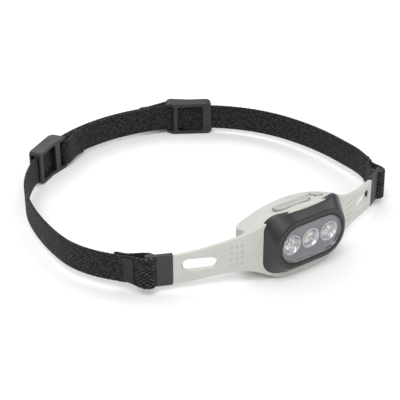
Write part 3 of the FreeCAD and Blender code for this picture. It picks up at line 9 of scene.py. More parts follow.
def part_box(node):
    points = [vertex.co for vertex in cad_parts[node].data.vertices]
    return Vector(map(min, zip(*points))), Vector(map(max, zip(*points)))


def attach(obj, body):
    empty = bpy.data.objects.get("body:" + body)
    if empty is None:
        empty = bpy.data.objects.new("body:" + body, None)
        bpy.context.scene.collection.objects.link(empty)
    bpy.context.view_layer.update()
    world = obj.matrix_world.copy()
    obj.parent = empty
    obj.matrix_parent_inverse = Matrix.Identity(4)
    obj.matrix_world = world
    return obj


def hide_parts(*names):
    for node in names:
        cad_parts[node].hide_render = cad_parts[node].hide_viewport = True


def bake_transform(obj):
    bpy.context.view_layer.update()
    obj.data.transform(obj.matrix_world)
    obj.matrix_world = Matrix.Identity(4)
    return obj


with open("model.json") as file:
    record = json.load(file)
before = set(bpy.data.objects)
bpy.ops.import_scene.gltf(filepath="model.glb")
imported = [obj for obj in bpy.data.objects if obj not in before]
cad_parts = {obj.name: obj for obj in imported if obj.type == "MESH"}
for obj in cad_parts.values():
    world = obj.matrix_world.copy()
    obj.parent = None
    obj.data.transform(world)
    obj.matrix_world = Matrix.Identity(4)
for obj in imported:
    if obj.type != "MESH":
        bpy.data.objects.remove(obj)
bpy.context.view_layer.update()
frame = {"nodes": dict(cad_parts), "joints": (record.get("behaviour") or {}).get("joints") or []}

bl_info = {
    "name": "Headlamp",
    "version": (1, 0, 0),
    "blender": (4, 5, 0),
    "location": "3D View > Sidebar > Headlamp",
    "description": "Straps, stitching, small parts and finishes of a rechargeable headlamp",
    "category": "Object",
}

MM = 0.001


# ---------------------------------------------------------------- sizes and colours

def size(name, text, millimetres):
    return FloatProperty(name=name, description=text, default=millimetres * MM, unit="LENGTH",
                         precision=5)


def angle(name, text, degrees):
    return FloatProperty(name=name, description=text, default=math.radians(degrees),
                         subtype="ANGLE")


def colour(name, text, hexadecimal):
    parts = [int(hexadecimal[at:at + 2], 16) / 255 for at in (0, 2, 4)]
    linear = [(part / 12.92 if part <= 0.04045 else ((part + 0.055) / 1.055) ** 2.4)
              for part in parts]
    return FloatVectorProperty(name=name, description=text, subtype="COLOR", size=4,
                               default=linear + [1.0], min=0.0, max=1.0)


class HeadlampStrapSizes(bpy.types.PropertyGroup):
    width: size("Width", "Width of the elastic webbing", 15.0)
    thickness: size("Thickness", "Thickness of the elastic webbing", 1.6)
    layer_gap: size("Layer gap", "Space between the two straps at the back", 0.3)
    back_x: size("Back centre X", "Centre of the back curve, across", -5.5)
    back_y: size("Back centre Y", "Centre of the back curve, from front to back", 75.0)
    back_radius: size("Back radius", "Radius of the curve at the back of the head", 92.0)
    fold: size("Fold", "Length of a strap's fold round a post", 11.0)
    seam: size("Seam", "Length of the sewn double layer", 7.0)
    anchor_post: size("Anchor post", "Radius of the fold round an anchor's post", 2.6)
    adjuster_post: size("Adjuster post", "Radius of the fold round an adjuster's post", 2.1)
    post_x: size("Post X", "Distance of an anchor's post from the middle", 75.96)
    post_y: size("Post Y", "Anchor post, from front to back", 18.50)
    level: size("Level", "Height of the middle of the straps at the anchors", 12.55)
    lean: angle("Lean", "Fall of the straps from front to back", 1.0987)
    right_leave: angle("Right leave", "Heading of the right strap at its anchor", 70)
    left_leave: angle("Left leave", "Heading of the left strap at its anchor", 127)
    right_reach: size("Right reach", "Furthest point of the right strap", 86.2)
    right_reach_y: size("Right reach Y", "Furthest point, from front to back", 66)
    left_reach: size("Left reach", "Furthest point of the left strap", 98.4)
    left_reach_y: size("Left reach Y", "Furthest point, from front to back", 64)
    right_join: angle("Right join", "Bearing where the right strap meets the back curve", 41)
    left_join: angle("Left join", "Bearing where the left strap meets the back curve", 138)
    right_adjuster: angle("Right adjuster", "Bearing of the right adjuster", 57)
    left_adjuster: angle("Left adjuster", "Bearing of the left adjuster", 121)
    post_run: size("Post run", "Adjuster's strap post from its middle", 12.6)
    scallop: size("Scallop", "Depth of the small waves along the webbing's edges", 0.12)


class HeadlampDetailSizes(bpy.types.PropertyGroup):
    stitch_length: size("Stitch length", "Length of one stitch", 1.5)
    stitch_radius: size("Stitch radius", "Half the thickness of the thread", 0.2)
    stitch_rows: IntProperty(name="Stitch rows", description="Stitches across a strap's width",
                             default=12, min=2, max=40)
    grip_dot: size("Grip dot", "Radius of a raised dot on the long button", 0.26)
    power_turn: angle("Power turn", "Turn of the long button in the top", -8.0)
    proud: size("Proud", "Height of the buttons above the top", 0.7)
    pin_hole: size("Pin hole", "Radius of the small dark holes in the top", 0.55)
    grip_pitch: size("Grip pitch", "Spacing of the raised dots", 0.95)
    ring_tube: size("Ring", "Thickness of the rings round the buttons", 0.22)
    phosphor: size("Phosphor", "Side of the yellow square of a light", 2.2)


class HeadlampColours(bpy.types.PropertyGroup):
    cradle: colour("Cradle", "Warm light grey soft-touch plastic", "BFC0B9")
    bezel: colour("Bezel", "Satin very dark grey plastic", "1B1A1E")
    case: colour("Case", "Housing behind the cradle", "232327")
    anchor: colour("Anchor", "Charcoal matt plastic of the anchors and adjusters", "2E2E32")
    adjuster: colour("Adjuster", "Near-black matt plastic of the adjusters", "1E1E20")
    strap: colour("Strap", "Black elastic webbing", "101012")
    dash: colour("Dash", "Light threads in the webbing", "7C7C82")
    plate: colour("Optic plate", "Plate behind the lens", "8C8792")
    phosphor: colour("Phosphor", "Yellow face of a light", "E8CE48")
    button: colour("Button", "Light grey rubber of the buttons", "B2B3AC")
    board: colour("Board", "Circuit board", "1C5A38")


# ---------------------------------------------------------------- modelling helpers

def only(*objects):
    """Select these objects alone; the last becomes active."""
    bpy.ops.object.select_all(action="DESELECT")
    for obj in objects:
        obj.select_set(True)
        bpy.context.view_layer.objects.active = obj


def start(name, add, **values):
    """Add a primitive with nothing else selected, and name it."""
    bpy.ops.object.select_all(action="DESELECT")
    add(**values)
    obj = bpy.context.active_object
    obj.name = name
    obj.data.name = name
    return obj


def finish_modifier(obj, kind, **values):
    """Add a modifier, set it and apply it."""
    modifier = obj.modifiers.new(kind.title(), kind)
    for key, value in values.items():
        setattr(modifier, key, value)
    only(obj)
    bpy.ops.object.modifier_apply(modifier=modifier.name)


def place(obj, matrix):
    """Move a piece by a matrix and put that into its mesh."""
    bpy.context.view_layer.update()
    obj.matrix_world = matrix @ obj.matrix_world
    only(obj)
    bpy.ops.object.transform_apply(location=True, rotation=True, scale=True)


def join(name, objects):
    """Make one mesh of several objects."""
    only(*objects)
    bpy.ops.object.join()
    obj = bpy.context.active_object
    obj.name = name
    obj.data.name = name
    bpy.ops.object.transform_apply(location=True, rotation=True, scale=True)
    return obj


def copy_of(obj, matrix):
    """A copy with its own mesh, moved by a matrix."""
    twin = obj.copy()
    twin.data = obj.data.copy()
    bpy.context.collection.objects.link(twin)
    twin.matrix_world = matrix @ obj.matrix_world
    return twin


def select_faces(obj, test):
    """In edit mode with only the faces that pass a test selected."""
    only(obj)
    bpy.ops.object.mode_set(mode="EDIT")
    bpy.ops.mesh.select_mode(type="FACE")
    bpy.ops.mesh.select_all(action="DESELECT")
    bpy.ops.object.mode_set(mode="OBJECT")
    for polygon in obj.data.polygons:
        polygon.select = test(polygon)
    bpy.ops.object.mode_set(mode="EDIT")


def smooth(obj, degrees=35):
    only(obj)
    bpy.ops.object.shade_smooth_by_angle(angle=math.radians(degrees))


def outward(obj):
    """Merge doubles and turn the normals outwards."""
    only(obj)
    bpy.ops.object.mode_set(mode="EDIT")
    bpy.ops.mesh.select_all(action="SELECT")
    bpy.ops.mesh.remove_doubles(threshold=1e-6)
    bpy.ops.mesh.normals_make_consistent(inside=False)
    bpy.ops.object.mode_set(mode="OBJECT")


# ---------------------------------------------------------------- plan of the straps

def heading(degrees):
    return Vector((math.cos(math.radians(degrees)), math.sin(math.radians(degrees)), 0))


def bearing_of(vector):
    return math.degrees(math.atan2(vector.y, vector.x))


def arc(begin, degrees, end):
    """Points of the arc that leaves begin at a heading and ends at end."""
    chord = end - begin
    half = (bearing_of(chord) - degrees + 180) % 360 - 180
    if abs(half) < 1e-6:
        count = max(2, int(chord.length / MM))
        return [begin + chord * step / count for step in range(count + 1)]
    radius = chord.length / 2 / math.sin(math.radians(half))
    centre = begin + heading(degrees + 90) * radius
    count = max(4, int(abs(radius) * math.radians(2 * abs(half)) / MM))
    points = []
    for step in range(count + 1):
        spoke = degrees - 90 + 2 * half * step / count
        points.append(centre + heading(spoke) * radius)
    return points


def two_arcs(begin, degrees, end, end_degrees):
    """Points of two tangent arcs between two points with given headings."""
    chord = end - begin
    leave = heading(degrees)
    arrive = heading(end_degrees)
    both = leave + arrive
    bend = 2 * (1 - leave.dot(arrive))
    dot = chord.dot(both)
    if bend < 1e-9:
        reach = chord.dot(chord) / (4 * chord.dot(arrive))
    else:
        reach = (-dot + math.sqrt(dot * dot + bend * chord.dot(chord))) / bend
    first = begin + leave * reach
    second = end - arrive * reach
    meet = (first + second) / 2
    return arc(begin, degrees, meet) + arc(meet, bearing_of(second - first), end)


def wrap(before, centre, radius, after, turn):
    """Points of a strap that runs from before, round a post, and on to after."""
    come = before - centre
    go = after - centre
    first = bearing_of(come) + turn * math.degrees(math.acos(radius / come.length))
    last = bearing_of(go) - turn * math.degrees(math.acos(radius / go.length))
    sweep = (last - first) * turn % 360
    count = 14
    return [centre + heading(first + turn * sweep * step / count) * radius
            for step in range(count + 1)]


def even(points, pitch):
    """The same path with points at an even spacing, its corners eased."""
    for _ in range(2):
        run = [points[0]]
        carried = 0.0
        for one, two in zip(points, points[1:]):
            length = (two - one).length
            if length < 1e-7:
                continue
            at = pitch - carried
            while at <= length:
                run.append(one.lerp(two, at / length))
                at += pitch
            carried = length - (at - pitch)
        points = [run[0]] + [(run[at - 1] + run[at] * 2 + run[at + 1]) / 4
                             for at in range(1, len(run) - 1)] + [run[-1]]
    return points


def on_back(sizes, degrees, offset=0.0):
    centre = Vector((sizes.back_x, sizes.back_y, 0))
    return centre + heading(degrees) * (sizes.back_radius + offset)


def lean(sizes):
    """The place of the straps: their level, and their fall towards the back."""
    pivot = Vector((0, sizes.post_y, sizes.level))
    return (Matrix.Translation(pivot) @ Matrix.Rotation(-sizes.lean, 4, "X")
            @ Matrix.Translation(Vector((0, -sizes.post_y, 0))))


def anchor_seam(sizes, side):
    """The post, the heading, and the outward direction of a strap at its anchor."""
    leave = math.degrees(sizes.right_leave if side > 0 else sizes.left_leave)
    centre = Vector((side * sizes.post_x, sizes.post_y, 0))
    return centre, leave, heading(leave - side * 90)


def adjuster_seam(sizes, side):
    """Post centre, bearing of the seam, bearing of the tail's end, and the strap's offset."""
    adjuster = math.degrees(sizes.left_adjuster if side > 0 else sizes.right_adjuster)
    per_metre = math.degrees(1 / sizes.back_radius)
    offset = -side * (sizes.layer_gap + sizes.thickness) / 2
    bow = sizes.post_run ** 2 / 2 / sizes.back_radius
    out = -side * (sizes.layer_gap / 2 + sizes.thickness / 2 + bow + sizes.adjuster_post)
    centre = (on_back(sizes, adjuster) - heading(adjuster + side * 90) * sizes.post_run
              + heading(adjuster) * out)
    post = adjuster - side * sizes.post_run * per_metre
    seam = post - side * sizes.fold * per_metre
    tail = post - side * (sizes.fold + sizes.seam) * per_metre
    return centre, seam, tail, offset


def strap_path(sizes, side):
    """Middle line of one strap: tail, anchor post, side of the head, back, adjuster post, tail."""
    half = sizes.thickness / 2
    centre, leave, out = anchor_seam(sizes, side)
    along = heading(leave)
    far = centre + along * (sizes.fold + sizes.seam)
    near = centre + along * sizes.fold
    points = arc(far - out * half, leave + 180, near - out * half)
    points += wrap(near - out * half, centre, sizes.anchor_post, near + out * half, side)
    points += arc(near + out * half, leave, far + out * half)
    reach = sizes.right_reach if side > 0 else sizes.left_reach
    reach_y = sizes.right_reach_y if side > 0 else sizes.left_reach_y
    furthest = Vector((side * reach, reach_y, 0))
    post, seam, tail, offset = adjuster_seam(sizes, side)
    meet = math.degrees(sizes.right_join if side > 0 else sizes.left_join)
    joined = on_back(sizes, meet, offset)
    points += two_arcs(far + out * half, leave, furthest, 90)
    points += two_arcs(furthest, 90, joined, meet + side * 90)
    end = on_back(sizes, seam, offset)
    points += arc(joined, meet + side * 90, end)
    back = on_back(sizes, seam, offset - side * sizes.thickness)
    last = on_back(sizes, tail, offset - side * sizes.thickness)
    points += wrap(end, post, sizes.adjuster_post, back, 1)
    points += arc(back, seam - side * 90, last)
    return even(points, 0.8 * MM)


def make_ribbon(name, path, width, thickness, scallop=0.0):
    """Webbing along a path: a grid bent along a curve, given its thickness and round edges."""
    guide = start(name + "_guide", bpy.ops.curve.primitive_nurbs_path_add)
    guide.data.dimensions = "2D"
    guide.data.splines.clear()
    spline = guide.data.splines.new("POLY")
    spline.points.add(len(path) - 1)
    for point, place_at in zip(spline.points, path):
        point.co = (place_at.x, place_at.y, 0, 1)
    length = spline.calc_length()
    strap = start(name, bpy.ops.mesh.primitive_grid_add, x_subdivisions=len(path) - 1,
                  y_subdivisions=12, size=1.0, location=(length / 2, 0, 0),
                  rotation=(math.pi / 2, 0, 0))
    strap.scale = (length, width, 1)
    place(strap, Matrix.Identity(4))
    layer = strap.data.uv_layers.active
    for loop in strap.data.loops:
        spot = strap.data.vertices[loop.vertex_index].co
        layer.data[loop.index].uv = (spot.x / MM, spot.z / MM)
    for vertex in strap.data.vertices:
        wave = abs(math.sin(vertex.co.x / (1.1 * MM) * math.pi))
        vertex.co.z *= 1 - scallop * 2 / width * wave * (abs(vertex.co.z) * 2 / width) ** 6
    finish_modifier(strap, "CURVE", object=guide, deform_axis="POS_X")
    finish_modifier(strap, "SOLIDIFY", thickness=thickness, offset=0.0, use_even_offset=True)
    outward(strap)
    finish_modifier(strap, "BEVEL", width=thickness * 0.28, segments=2, limit_method="ANGLE",
                    angle_limit=math.radians(50))
    bpy.data.objects.remove(guide)
    place(strap, lean(bpy.context.scene.headlamp_strap))
    smooth(strap, 50)
    return strap


# ---------------------------------------------------------------- shader groups

def socket(group, name, kind, way, default=None):
    made = group.interface.new_socket(name=name, in_out=way, socket_type="NodeSocket" + kind)
    if default is not None:
        made.default_value = default
    return made


class Wiring:
    """Adds nodes to a tree and links them."""

    def __init__(self, tree):
        self.tree = tree

    def node(self, kind, **values):
        made = self.tree.nodes.new("ShaderNode" + kind)
        for key, value in values.items():
            setattr(made, key, value)
        return made

    def link(self, source, target):
        self.tree.links.new(source, target)

    def feed(self, target, value):
        if isinstance(value, bpy.types.NodeSocket):
            self.link(value, target)
        else:
            target.default_value = value

    def math(self, operation, first, second=0.0, third=None):
        made = self.node("Math", operation=operation)
        self.feed(made.inputs[0], first)
        self.feed(made.inputs[1], second)
        if third is not None:
            self.feed(made.inputs[2], third)
        return made.outputs[0]

    def between(self, value, low, high, out_low=0.0, out_high=1.0):
        made = self.node("MapRange", interpolation_type="SMOOTHSTEP")
        for index, item in enumerate((value, low, high, out_low, out_high)):
            self.feed(made.inputs[index], item)
        return made.outputs[0]

    def noise(self, vector, scale, detail=3.0, roughness=0.55):
        made = self.node("TexNoise")
        self.feed(made.inputs["Vector"], vector)
        self.feed(made.inputs["Scale"], scale)
        made.inputs["Detail"].default_value = detail
        made.inputs["Roughness"].default_value = roughness
        return made.outputs["Fac"]

    def mix(self, factor, first, second):
        made = self.node("Mix", data_type="RGBA")
        self.feed(made.inputs["Factor"], factor)
        self.feed(made.inputs[6], first)
        self.feed(made.inputs[7], second)
        return made.outputs[2]


def new_group(name, inputs, outputs):
    """A node group, its wiring, and its input and output nodes."""
    group = bpy.data.node_groups.new(name, "ShaderNodeTree")
    for label, kind, default in inputs:
        socket(group, label, kind, "INPUT", default)
    for label, kind in outputs:
        socket(group, label, kind, "OUTPUT")
    given = group.nodes.new("NodeGroupInput")
    out = group.nodes.new("NodeGroupOutput")
    return group, Wiring(group), given, out


def grain_group():
    """Moulded texture: a fine even grain, and broad soft patches of handling."""
    group, wires, given, out = new_group(
        "Moulded grain",
        [("Vector", "Vector", None), ("Grain size", "Float", 0.0004)],
        [("Height", "Float"), ("Patches", "Float"), ("Speckle", "Float")])
    scale = wires.math("DIVIDE", 1.0, given.outputs["Grain size"])
    fine = wires.noise(given.outputs["Vector"], scale, 2.0)
    broad = wires.noise(given.outputs["Vector"], 90.0, 3.0)
    speckle = wires.between(wires.noise(given.outputs["Vector"], 2600.0, 1.0), 0.6, 0.78)
    wires.link(fine, out.inputs["Height"])
    wires.link(wires.between(broad, 0.3, 0.7), out.inputs["Patches"])
    wires.link(speckle, out.inputs["Speckle"])
    return group


def dust_group():
    """Dust that settles on faces that look up."""
    group, wires, given, out = new_group(
        "Settled dust",
        [("Vector", "Vector", None), ("Normal", "Vector", None)],
        [("Dust", "Float")])
    parts = wires.node("SeparateXYZ")
    wires.link(given.outputs["Normal"], parts.inputs[0])
    up = wires.between(parts.outputs[2], 0.55, 1.0)
    spots = wires.between(wires.noise(given.outputs["Vector"], 1900.0, 4.0, 0.7), 0.56, 0.74)
    wires.link(wires.math("MULTIPLY", up, spots), out.inputs["Dust"])
    return group


def webbing_group():
    """Elastic webbing: ribs across, threads along, and short light dashes in staggered rows."""
    group, wires, given, out = new_group(
        "Elastic webbing",
        [("Vector", "Vector", None), ("Pitch", "Float", 2.2), ("Row", "Float", 0.9)],
        [("Height", "Float"), ("Dashes", "Float"), ("Threads", "Float")])
    parts = wires.node("SeparateXYZ")
    wires.link(given.outputs["Vector"], parts.inputs[0])
    along, across = parts.outputs[0], parts.outputs[1]
    rows = wires.math("DIVIDE", across, given.outputs["Row"])
    row = wires.math("FLOOR", rows)
    shift = wires.math("FRACT", wires.math("MULTIPLY", row, 0.5))
    phase = wires.math("ADD", wires.math("DIVIDE", along, given.outputs["Pitch"]), shift)
    ahead = wires.math("ABSOLUTE", wires.math("SUBTRACT", wires.math("FRACT", phase), 0.5))
    beside = wires.math("ABSOLUTE", wires.math("SUBTRACT", wires.math("FRACT", rows), 0.5))
    long_enough = wires.between(ahead, 0.16, 0.26, 1.0, 0.0)
    thin_enough = wires.between(beside, 0.12, 0.24, 1.0, 0.0)
    broken = wires.between(wires.noise(given.outputs["Vector"], 0.45, 2.0), 0.38, 0.66)
    dashes = wires.math("MULTIPLY", wires.math("MULTIPLY", long_enough, thin_enough), broken)
    ribs = wires.math("SINE", wires.math("MULTIPLY", along, 2 * math.pi / 0.65))
    cords = wires.math("SINE", wires.math("MULTIPLY", across, 2 * math.pi / 0.75))
    zigzag = wires.math("PINGPONG", across, 3.75)
    slanted = wires.math("SINE", wires.math(
        "MULTIPLY", wires.math("ADD", along, wires.math("MULTIPLY", zigzag, 0.9)), 2 * math.pi / 2.1))
    woven = wires.math("MULTIPLY", ribs, cords)
    fuzz = wires.noise(given.outputs["Vector"], 7.0, 3.0)
    height = wires.math("ADD", wires.math("MULTIPLY", woven, 0.3), wires.math("MULTIPLY", dashes, 0.8))
    height = wires.math("ADD", height, wires.math("MULTIPLY", slanted, 0.35))
    height = wires.math("ADD", height, wires.math("MULTIPLY", fuzz, 0.3))
    wires.link(height, out.inputs["Height"])
    wires.link(dashes, out.inputs["Dashes"])
    wires.link(wires.between(wires.math("ADD", slanted, fuzz), 0.2, 1.6), out.inputs["Threads"])
    return group


def flutes_group():
    """Fine slanting flutes of the plate behind the lens, and a mask of painted light on their crests.
    """
    group, wires, given, out = new_group(
        "Fine flutes",
        [("Vector", "Vector", None), ("Pitch", "Float", 0.0009)],
        [("Height", "Float"), ("Mask", "Float")])
    parts = wires.node("SeparateXYZ")
    wires.link(given.outputs["Vector"], parts.inputs[0])
    slant = wires.math("ADD", parts.outputs[0], wires.math("MULTIPLY", parts.outputs[2], 0.9))
    turns = wires.math("DIVIDE", slant, given.outputs["Pitch"])
    wave = wires.math("SINE", wires.math("MULTIPLY", turns, 2 * math.pi))
    wires.link(wires.between(wave, -1.0, 1.0), out.inputs["Height"])
    # Painted light: this mask picks out the flutes' crests so their colour can be made lighter.
    wires.link(wires.between(wave, 0.2, 0.9), out.inputs["Mask"])
    return group


# ---------------------------------------------------------------- materials

def shader(name, **values):
    """A material with a Principled shader whose own sockets hold the even values."""
    made = bpy.data.materials.new(name)
    made.use_nodes = True
    principled = made.node_tree.nodes["Principled BSDF"]
    for key, value in values.items():
        principled.inputs[key.replace("_", " ")].default_value = value
    return made, Wiring(made.node_tree), principled


def placed_group(wires, group, vector, **values):
    """A group node in a material, with its own values."""
    made = wires.node("Group")
    made.node_tree = group
    wires.link(vector, made.inputs["Vector"])
    for key, value in values.items():
        wires.feed(made.inputs[key.replace("_", " ")], value)
    return made


def shaded(tint, factor):
    return tuple(part * factor for part in tint[:3]) + (1.0,)


def bumped(wires, principled, height, strength, distance):
    bump = wires.node("Bump")
    bump.inputs["Strength"].default_value = strength
    bump.inputs["Distance"].default_value = distance
    wires.link(height, bump.inputs["Height"])
    wires.link(bump.outputs["Normal"], principled.inputs["Normal"])


def moulded(name, tint, roughness, groups, grain=0.0004, depth=0.00004, strength=0.5,
            variation=0.12, dust=0.25, **values):
    """Moulded plastic or rubber with a grain, handling patches and a little dust."""
    made, wires, principled = shader(name, **values)
    coordinates = wires.node("TexCoord").outputs["Object"]
    textured = placed_group(wires, groups["grain"], coordinates, Grain_size=grain)
    settled = placed_group(wires, groups["dust"], coordinates,
                           Normal=wires.node("NewGeometry").outputs["Normal"])
    tone = wires.mix(textured.outputs["Patches"], shaded(tint, 1 - variation),
                     shaded(tint, 1 + variation))
    tone = wires.mix(wires.math("MULTIPLY", textured.outputs["Speckle"], 0.10), tone,
                     shaded(tint, 0.55))
    tone = wires.mix(wires.math("MULTIPLY", settled.outputs["Dust"], dust), tone,
                     (0.55, 0.54, 0.52, 1.0))
    wires.link(tone, principled.inputs["Base Color"])
    wires.link(wires.between(textured.outputs["Patches"], 0.0, 1.0, roughness - 0.05,
                             roughness + 0.07), principled.inputs["Roughness"])
    bumped(wires, principled, textured.outputs["Height"], strength, depth)
    return made


def metal(name, tint, roughness, groups, grain=0.0012, strength=0.2, depth=0.00001):
    """Bright metal with soft patches and a slight waviness."""
    made, wires, principled = shader(name, Metallic=1.0)
    coordinates = wires.node("TexCoord").outputs["Object"]
    textured = placed_group(wires, groups["grain"], coordinates, Grain_size=grain)
    wires.link(wires.mix(textured.outputs["Patches"], shaded(tint, 0.92), tint),
               principled.inputs["Base Color"])
    wires.link(wires.between(textured.outputs["Patches"], 0.0, 1.0, roughness, roughness + 0.08),
               principled.inputs["Roughness"])
    bumped(wires, principled, textured.outputs["Height"], strength, depth)
    return made


def webbing(name, tint, dash, groups):
    """Woven elastic, patterned along the strap by its own map in millimetres."""
    made, wires, principled = shader(name, Roughness=0.9, Sheen_Weight=0.06,
                                     Sheen_Roughness=0.4, Specular_IOR_Level=0.3)
    woven = placed_group(wires, groups["webbing"], wires.node("UVMap").outputs["UV"])
    tone = wires.mix(woven.outputs["Threads"], tint, shaded(tint, 2.2))
    tone = wires.mix(wires.math("MULTIPLY", woven.outputs["Dashes"], 0.6), tone, dash)
    wires.link(tone, principled.inputs["Base Color"])
    bumped(wires, principled, woven.outputs["Height"], 0.9, 0.00022)
    return made


def clear_lens(groups):
    made, wires, principled = shader("Clear lens", Transmission_Weight=1.0, IOR=1.45,
                                     Base_Color=(1, 1, 1, 1))
    coordinates = wires.node("TexCoord").outputs["Object"]
    textured = placed_group(wires, groups["grain"], coordinates, Grain_size=0.003)
    wires.link(wires.between(textured.outputs["Patches"], 0.0, 1.0, 0.01, 0.05),
               principled.inputs["Roughness"])
    return made


def fluted_plate(tint, groups):
    made, wires, principled = shader("Fluted plate", Metallic=0.35, Specular_IOR_Level=0.6)
    coordinates = wires.node("TexCoord").outputs["Object"]
    flutes = placed_group(wires, groups["flutes"], coordinates)
    textured = placed_group(wires, groups["grain"], coordinates)
    # Painted light and shade: the colour is lighter on the flutes' crests and darker between them,
    # following the bump.
    tone = wires.mix(flutes.outputs["Mask"], shaded(tint, 0.72), shaded(tint, 1.35))
    wires.link(tone, principled.inputs["Base Color"])
    wires.link(wires.between(textured.outputs["Patches"], 0.0, 1.0, 0.30, 0.42),
               principled.inputs["Roughness"])
    bumped(wires, principled, flutes.outputs["Height"], 0.8, 0.00018)
    return made


def phosphor(tint, groups):
    # The faint emission is a painted glow that makes the yellow faces brighter.
    made, wires, principled = shader("Phosphor", Roughness=0.45, Emission_Strength=0.25)
    coordinates = wires.node("TexCoord").outputs["Object"]
    textured = placed_group(wires, groups["grain"], coordinates, Grain_size=0.0003)
    tone = wires.mix(textured.outputs["Height"], shaded(tint, 0.8), shaded(tint, 1.15))
    wires.link(tone, principled.inputs["Base Color"])
    wires.link(tone, principled.inputs["Emission Color"])
    bumped(wires, principled, textured.outputs["Height"], 0.4, 0.00003)
    return made


FINISHES = {}


def finish_named(name):
    """A finish that the Finishes operator has made; without it no piece can be finished."""
    if name not in FINISHES:
        raise RuntimeError("run Finishes before the pieces: there is no finish " + name)
    return FINISHES[name]


def make_finishes(colours):
    groups = {"grain": grain_group(), "dust": dust_group(), "webbing": webbing_group(),
              "flutes": flutes_group()}
    FINISHES.update({
        "cradle": moulded("Soft grey", colours.cradle, 0.52, groups, grain=0.00035,
                          depth=0.00004, variation=0.035, dust=0.1),
        "bezel": moulded("Satin dark", colours.bezel, 0.36, groups, grain=0.0003,
                         depth=0.00002, strength=0.35, variation=0.10, dust=0.12,
                         Coat_Weight=0.15, Coat_Roughness=0.25),
        "gasket": moulded("Gasket rubber", (0.008, 0.008, 0.008, 1), 0.6, groups, dust=0.1),
        "lens": clear_lens(groups),
        "optic_plate": fluted_plate(colours.plate, groups),
        "reflector": metal("Bright reflector", (0.62, 0.62, 0.64, 1), 0.05, groups, grain=0.0016,
                           strength=0.9, depth=0.0006),
        "led": moulded("Light body", (0.75, 0.74, 0.68, 1), 0.4, groups, dust=0.0),
        "phosphor": phosphor(colours.phosphor, groups),
        "circuit_board": moulded("Circuit board", colours.board, 0.35, groups),
        "case": moulded("Housing plastic", colours.case, 0.5, groups, grain=0.0005,
                        depth=0.00006, strength=0.6),
        "screws": metal("Zinc screws", (0.62, 0.61, 0.58, 1), 0.28, groups),
        "pad": moulded("Foam pad", (0.03, 0.03, 0.032, 1), 0.9, groups, grain=0.0009,
                       depth=0.0002, strength=1.0),
        "battery": moulded("Cell wrap", (0.10, 0.22, 0.34, 1), 0.35, groups),
        "switch": metal("Switch steel", (0.6, 0.6, 0.6, 1), 0.3, groups),
        "indicator": moulded("Smoked window", (0.035, 0.034, 0.036, 1), 0.15, groups, dust=0.05),
        "socket": metal("Socket steel", (0.65, 0.65, 0.66, 1), 0.22, groups),
        "port_cover": moulded("Cover rubber", (0.02, 0.02, 0.021, 1), 0.68, groups,
                              grain=0.0005, depth=0.00006),
        "button": moulded("Button rubber", colours.button, 0.6, groups, grain=0.0004,
                          depth=0.00005, variation=0.04, dust=0.12),
        "anchor": moulded("Charcoal plastic", colours.anchor, 0.5, groups, grain=0.0004,
                          depth=0.00005, variation=0.10, dust=0.12),
        "adjuster": moulded("Adjuster plastic", colours.adjuster, 0.45, groups, grain=0.0004,
                            depth=0.00005, variation=0.12, dust=0.12),
        "band": webbing("Elastic webbing", colours.strap, colours.dash, groups),
        "thread": moulded("Sewing thread", (0.02, 0.02, 0.022, 1), 0.7, groups,
                          grain=0.0002, depth=0.0001, strength=0.9, dust=0.1),
        "dots": moulded("Grip dots", (0.30, 0.30, 0.29, 1), 0.6, groups, dust=0.0),
        # Painted shade: a dark grey ring stands for the shade in the groove round the long button.
        "groove": moulded("Painted groove shade", (0.20, 0.20, 0.19, 1), 0.7, groups, dust=0.0),
        # Painted shade: near black, for the gap round the short button and for the inside of the small
        # holes.
        "ring": moulded("Painted shade of gaps and holes", (0.02, 0.02, 0.02, 1), 0.6, groups, dust=0.0),
    })


NODE_FINISH = {
    "cradle": "cradle", "bezel": "bezel", "lens": "lens", "lens_gasket": "gasket",
    "optic_plate": "optic_plate", "reflector": "reflector", "led": "led",
    "led_board": "circuit_board", "case": "case", "back_seal": "gasket", "back_cover": "case",
    "screws": "screws", "battery_pad": "pad", "battery_cell": "battery",
    "main_board": "circuit_board", "button_board": "circuit_board", "power_switch": "switch",
    "mode_switch": "switch", "power_button": "button", "mode_button": "button",
    "indicator_window": "indicator", "charge_socket": "socket", "port_cover": "port_cover",
    "anchor": "anchor", "adjuster": "adjuster", "band": "band",
}


def finish_of(node):
    """The finish of a CAD node, by its own name or by the kind it starts with."""
    if node in NODE_FINISH:
        return finish_named(NODE_FINISH[node])
    return finish_named(NODE_FINISH[node.split("_")[0]])


def dress(obj, material):
    """Put a material in every slot of an object."""
    if obj.material_slots:
        for place_for in obj.material_slots:
            place_for.material = material
    else:
        obj.data.materials.append(material)


def finished(obj, finish, body):
    """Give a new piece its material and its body."""
    dress(obj, finish_named(finish))
    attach(obj, body)


# ---------------------------------------------------------------- operators

class HEADLAMP_OT_finishes(bpy.types.Operator):
    """Build the finishes and put them on the carried-over parts"""
    bl_idname = "headlamp.finishes"
    bl_label = "Finishes"

    def execute(self, context):
        make_finishes(context.scene.headlamp_colours)
        for name, obj in frame["nodes"].items():
            dress(obj, finish_of(name))
        return {"FINISHED"}


def puff_fold(strap, sizes, side):
    """Let the fold round the anchor's post swell, as soft webbing drawn tight does."""
    post = lean(sizes) @ Vector((side * sizes.post_x, sizes.post_y, 0))
    for vertex in strap.data.vertices:
        radial = Vector((vertex.co.x - post.x, vertex.co.y - post.y, 0))
        near = max(0.0, 1 - radial.length / (12 * MM))
        ease = near * near * (3 - 2 * near)
        if radial.length > sizes.anchor_post:
            vertex.co += radial.normalized() * 0.75 * MM * min(1.0, ease * 1.6)
        vertex.co.z += (vertex.co.z - post.z) * 0.14 * ease


